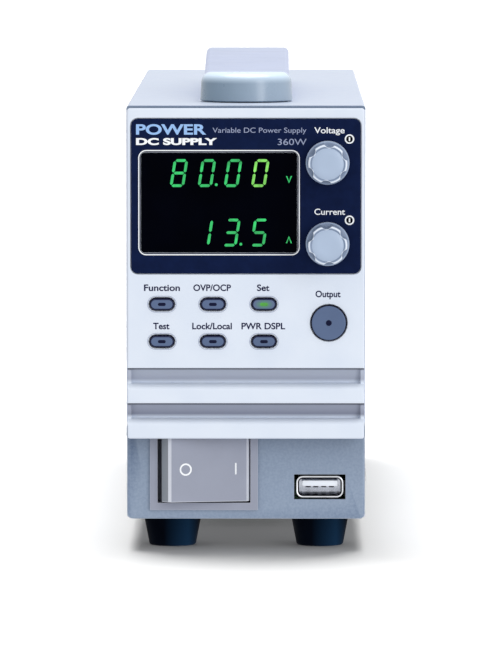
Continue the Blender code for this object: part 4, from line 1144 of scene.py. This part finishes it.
def screw_head(name, node, direction):
    """A pan head with a cross recess, looking along X."""
    centre = middle(node)
    flank = HALF * direction
    spot = (centre.y, centre.z)
    turns = [math.radians(90 * k / 6) for k in range(7)]
    dome = [(2.2 + 0.6 * math.cos(t), 0.34 + 0.4 * math.sin(t)) for t in turns]
    head = [(2.8, 0.2), *dome, (0.0, 0.74)]
    shank = [(1.45, -3.6), (1.45, 0.3)]

    def fill(bm):
        for outline, segments in ((head, 40), (shank, 24)):
            add_lathe(bm, [(radius, flank + out * direction) for radius, out in outline], spot, segments, "x")

    span, wide = 1.25, 0.26
    quarter = [(-wide, -span), (wide, -span), (wide, -wide)]
    cross = []
    for _ in range(4):
        cross += [(centre.y + a, centre.z + b) for a, b in quarter]
        quarter = [(-b, a) for a, b in quarter]
    depths = (flank + 0.44 * direction, flank + 0.745 * direction)
    piece(name, fill, STEEL, replaces=[node])
    # The cross recess is a dark sheet of painted shade.
    piece(f"{name}_recess", lambda bm: add_prism(bm, cross, *depths, "x"), RECESS_SHADE)


# ---------------------------------------------------------------- back

GUARD_WIRE = 0.8
GUARD_REACH = 25.0
GUARD_RINGS = (9.0, 15.5, 22.0, 28.0)


def back_print():
    """Each text's middle, foot, height and width, and how bold it is."""
    for name, text, x, foot, height, width, bold in (
        ("inlet_name", "AC INPUT", -17.5, 28.6, 1.6, 10.5, 0.0),
        ("network_name", "LAN", 9.6, 6.4, 1.5, 4.6, 0.0),
        ("usb_name", "USB", 25.6, 6.4, 1.5, 4.6, 0.0),
        ("control_name", "REMOTE", 17.5, 89.2, 1.5, 9.0, 0.0),
        ("sense_name", "SENSE", 17.5, 119.2, 1.4, 7.5, 0.0),
        ("positive_name", "+", -25.1, 88.6, 2.4, None, 0.1),
        ("negative_name", "-", -9.3, 88.6, 2.4, None, 0.1),
        ("output_name", "OUTPUT", -17.2, 89.2, 1.5, 8.0, 0.0),
    ):
        label(name, text, x, BASE + foot, height, width, INK_GREY, BACK, bold, back=True)


def guard():
    """Round wire rings on a cross of two wires, with a wire eye and a screw at each end."""
    centre = middle("finger_guard")
    low, high = spans("finger_guard")[1]
    corners = {
        f"{across}_{up}": (centre.x + sx * GUARD_REACH, centre.z + sz * GUARD_REACH)
        for sx, across in ((-1, "left"), (1, "right"))
        for sz, up in ((-1, "low"), (1, "high"))
    }

    def ring(bm, x, z, radius, y, steps, sides):
        add_tube(bm, at_depth(circle(x, z, radius, steps), y), GUARD_WIRE, sides, True)

    def fill(bm):
        for radius in GUARD_RINGS:
            ring(bm, centre.x, centre.z, radius, high - GUARD_WIRE, 72, 10)
        for slope in (1, -1):
            reaches = (-GUARD_REACH, -22.5, 22.5, GUARD_REACH)
            wire = [(centre.x + a, low + GUARD_WIRE, centre.z + a * slope) for a in reaches]
            add_tube(bm, wire, GUARD_WIRE, 10)
        for spot in corners.values():
            ring(bm, *spot, 2.1, low + GUARD_WIRE, 24, 8)

    piece("guard_wires", fill, STEEL, replaces=["finger_guard"], sharp=60)
    seat = low + GUARD_WIRE
    profile = [(1.3, low - 0.2), (1.3, seat), (2.2, seat), (2.3, (low + high) / 2 + 0.4)]
    profile += [(1.9, high - 0.3), (1.0, high - 0.05), (0, high)]
    for name, spot in corners.items():

        def screw(bm, spot=spot):
            add_lathe(bm, profile, spot, 32)

        piece(f"guard_screw_{name}", screw, BLACK)


def inlet_pins():
    centre = middle("ac_inlet")

    def blades(bm):
        for a, b in ((-7.0, -2.0), (0.0, 2.0), (7.0, -2.0)):
            x, z = centre.x + a, centre.z + b
            add_box(bm, (x - 1.06, x + 1.06), (BACK - 14.9, BACK - 3.0), (z - 2.06, z + 2.06))

    piece("inlet_pin_blades", blades, STEEL, bevel=0.4)


def terminal_bolt(pole):
    """A plated bar with a washer and a hexagon bolt on it."""
    node = f"{pole}_terminal"
    across, (seat, tip), height = spans(node)
    spot = (middle(node).x, middle(node).z)
    plate, washer = seat + 1.6, seat + 2.8
    rings = rim_rings(lambda inset: rounded(*across, *height, 0.6, inset, 4), seat, plate, 0.01, 1)

    def fill(bm):
        add_loft(bm, rings)
        add_lathe(bm, [(4.2, plate), (4.2, washer - 0.2), (4.0, washer), (0, washer)], spot, 40)
        add_prism(bm, circle(*spot, 3.4, 6), washer, tip - 0.25)
        add_lathe(bm, [(2.9, tip - 0.25), (2.7, tip), (0, tip)], spot, 40)

    piece(f"{pole}_bolt", fill, BRASS, replaces=[node], bevel=0.12)


def sense_screws():
    """Five clamp screws with slots."""
    centre, z, face = face_of("sense_terminal", 1)
    profile = [(1.3, face - 2.0), (1.3, face - 0.6), (1.1, face - 0.4), (0, face - 0.4)]

    def fill(bm):
        for k in range(5):
            x = centre + (k - 2) * 5.0
            add_lathe(bm, profile, (x, z + 2.0), 24)
            # The slots are dark sheets of painted shade.
            add_box(bm, (x - 1.1, x + 1.1), (face - 0.5, face - 0.38), (z + 1.8, z + 2.2), 1)

    piece("sense_screws", fill, [STEEL, RECESS_SHADE])


def control_socket():
    """The black insert of the nine-way connector and its sockets, five over four."""
    x, z, face = face_of("control_connector", 1)
    pitch, rise = 2.77, 1.42

    def insert(bm):
        outline = [(x - 7.6, z + 3.5), (x + 7.6, z + 3.5), (x + 6.6, z - 3.5), (x - 6.6, z - 3.5)]
        add_prism(bm, outline, face - 0.2, face + 0.02)

    def sockets(bm):
        for count, row in ((5, z + rise), (4, z - rise)):
            for k in range(count):
                spot = (x + (k - (count - 1) / 2) * pitch, row)
                add_prism(bm, circle(*spot, 0.55, 16), face - 0.1, face + 0.05)

    piece("control_insert", insert, BLACK, bevel=0.1)
    piece("control_sockets", sockets, BRASS)


def network_jack():
    """Eight sprung contacts inside, and two lamps on the face."""
    centre, z, face = face_of("lan_port", 1)

    def contacts(bm):
        for k in range(8):
            x = centre + (k - 3.5) * 1.02
            add_tube(bm, [(x, face - 11.0, z + 2.2), (x, face - 3.0, z + 3.8)], 0.18, 6)

    def lamps(bm):
        for x in (centre - 5.2, centre + 5.2):
            add_box(bm, (x - 1.3, x + 1.3), (face - 0.3, face + 0.02), (z - 6.2, z - 5.0))

    piece("network_contacts", contacts, BRASS)
    amber = moulded("port_lamp", srgb(196, 180, 90), 0.3, 0.05)
    piece("network_lamps", lamps, amber, bevel=0.1)


def usb_b_tongue():
    x, z = middle("usb_b_port").x, middle("usb_b_port").z
    tongue = ((x - 2.85, x + 2.85), (BACK - 9.0, BACK + 0.55), (z - 1.65, z + 1.65))
    piece("usb_b_tongue", lambda bm: add_box(bm, *tongue), BLACK, bevel=0.2)


# ---------------------------------------------------------------- stage

FLOOR_HALF = 14.0


def paper_floor():
    """A pale floor that takes shadows, and is unseen by the supply itself."""
    bm = bmesh.new()
    bmesh.ops.create_grid(bm, x_segments=2, y_segments=2, size=FLOOR_HALF)
    mesh = bpy.data.meshes.new("floor")
    bm.to_mesh(mesh)
    bm.free()
    paper = Surface("floor_paper", srgb(156, 156, 156), 0.9).mottle(0.01, 6).grain(300, 0.02)
    mesh.materials.append(paper.material)
    floor = new_object("floor", mesh)
    floor.visible_diffuse = False
    floor.visible_glossy = False
    floor.visible_shadow = False
    return floor


def add_lamp(name, kind, power, turn):
    lamp = bpy.data.lights.new(name, kind)
    lamp.energy = power
    obj = new_object(name, lamp)
    obj.rotation_euler = turn.to_euler()
    return obj


def window_light():
    """A large soft light, ahead of the supply and to the right of the camera."""
    place, target = Vector((0.9, -1.3, 0.45)), Vector((0, -0.15, 0.08))
    obj = add_lamp("front_light", "AREA", 5.3, (target - place).to_track_quat("-Z", "Y"))
    obj.location = place
    obj.data.shape = "RECTANGLE"
    obj.data.size, obj.data.size_y = 0.5, 1.0


def sun(name, towards, power, angle, only_on=()):
    """A wide soft sun. towards points from the supply to it. It can fall on some objects alone."""
    obj = add_lamp(name, "SUN", power, Vector(towards).to_track_quat("Z", "Y"))
    obj.data.angle = math.radians(angle)
    if only_on:
        chosen = bpy.data.collections.new(f"{name}_receivers")
        for receiver in only_on:
            chosen.objects.link(receiver)
        obj.light_linking.receiver_collection = chosen


def studio():
    world = bpy.data.worlds.new("studio")
    world.use_nodes = True
    background = world.node_tree.nodes["Background"]
    background.inputs["Color"].default_value = (0.985, 0.99, 1.0, 1.0)
    background.inputs["Strength"].default_value = 0.84
    bpy.context.scene.world = world
    floor = paper_floor()
    window_light()
    sun("top_light", (0.1, 0.05, 1.0), 0.5, 50)
    sun("floor_light", (-0.04, 0.34, 1.0), 9.2, 38, [floor])
    caps = [bpy.data.objects[name] for name in ("strap_front_cap", "strap_rear_cap")]
    sun("cap_light", (0.0, 0.1, 1.0), 3.0, 60, caps)


CAMERA_X = 10.07
CAMERA_AHEAD = 2201.8
CAMERA_ABOVE_BASE = 202.08
CAMERA_PITCH = 3.727
CAMERA_YAW = 0.3151
FOCAL_PIXELS = 7409.5
FRAME_HEIGHT = 650
SENSOR = 36.0


def camera():
    data = bpy.data.cameras.new("camera")
    data.sensor_width = SENSOR
    data.lens = FOCAL_PIXELS * SENSOR / FRAME_HEIGHT
    data.clip_start = 0.01
    obj = new_object("camera", data)
    obj.location = Vector((CAMERA_X, FRONT - CAMERA_AHEAD, BASE + CAMERA_ABOVE_BASE)) * MM
    obj.rotation_euler = Euler((math.radians(90 - CAMERA_PITCH), 0, math.radians(CAMERA_YAW)))
    bpy.context.scene.camera = obj
    bpy.context.scene.view_settings.view_transform = "Standard"


camera()
dress_frame()
display()
overlay_print()
key_labels()
keys()
output_button()
knob("voltage", 25.0)
knob("current", 34.0)
rocker()
usb_mouth()
usb_tongue()
feet()
handle_cap("handle_front_cap", -1)
handle_cap("handle_rear_cap", 1)
handle_strap()
for node in [n for n in nodes if n.startswith("cover_screw_")]:
    screw_head(node.replace("cover_screw", "case_screw"), node, -1 if "_left_" in node else 1)
back_print()
guard()
inlet_pins()
terminal_bolt("positive")
terminal_bolt("negative")
sense_screws()
control_socket()
network_jack()
usb_b_tongue()
studio()
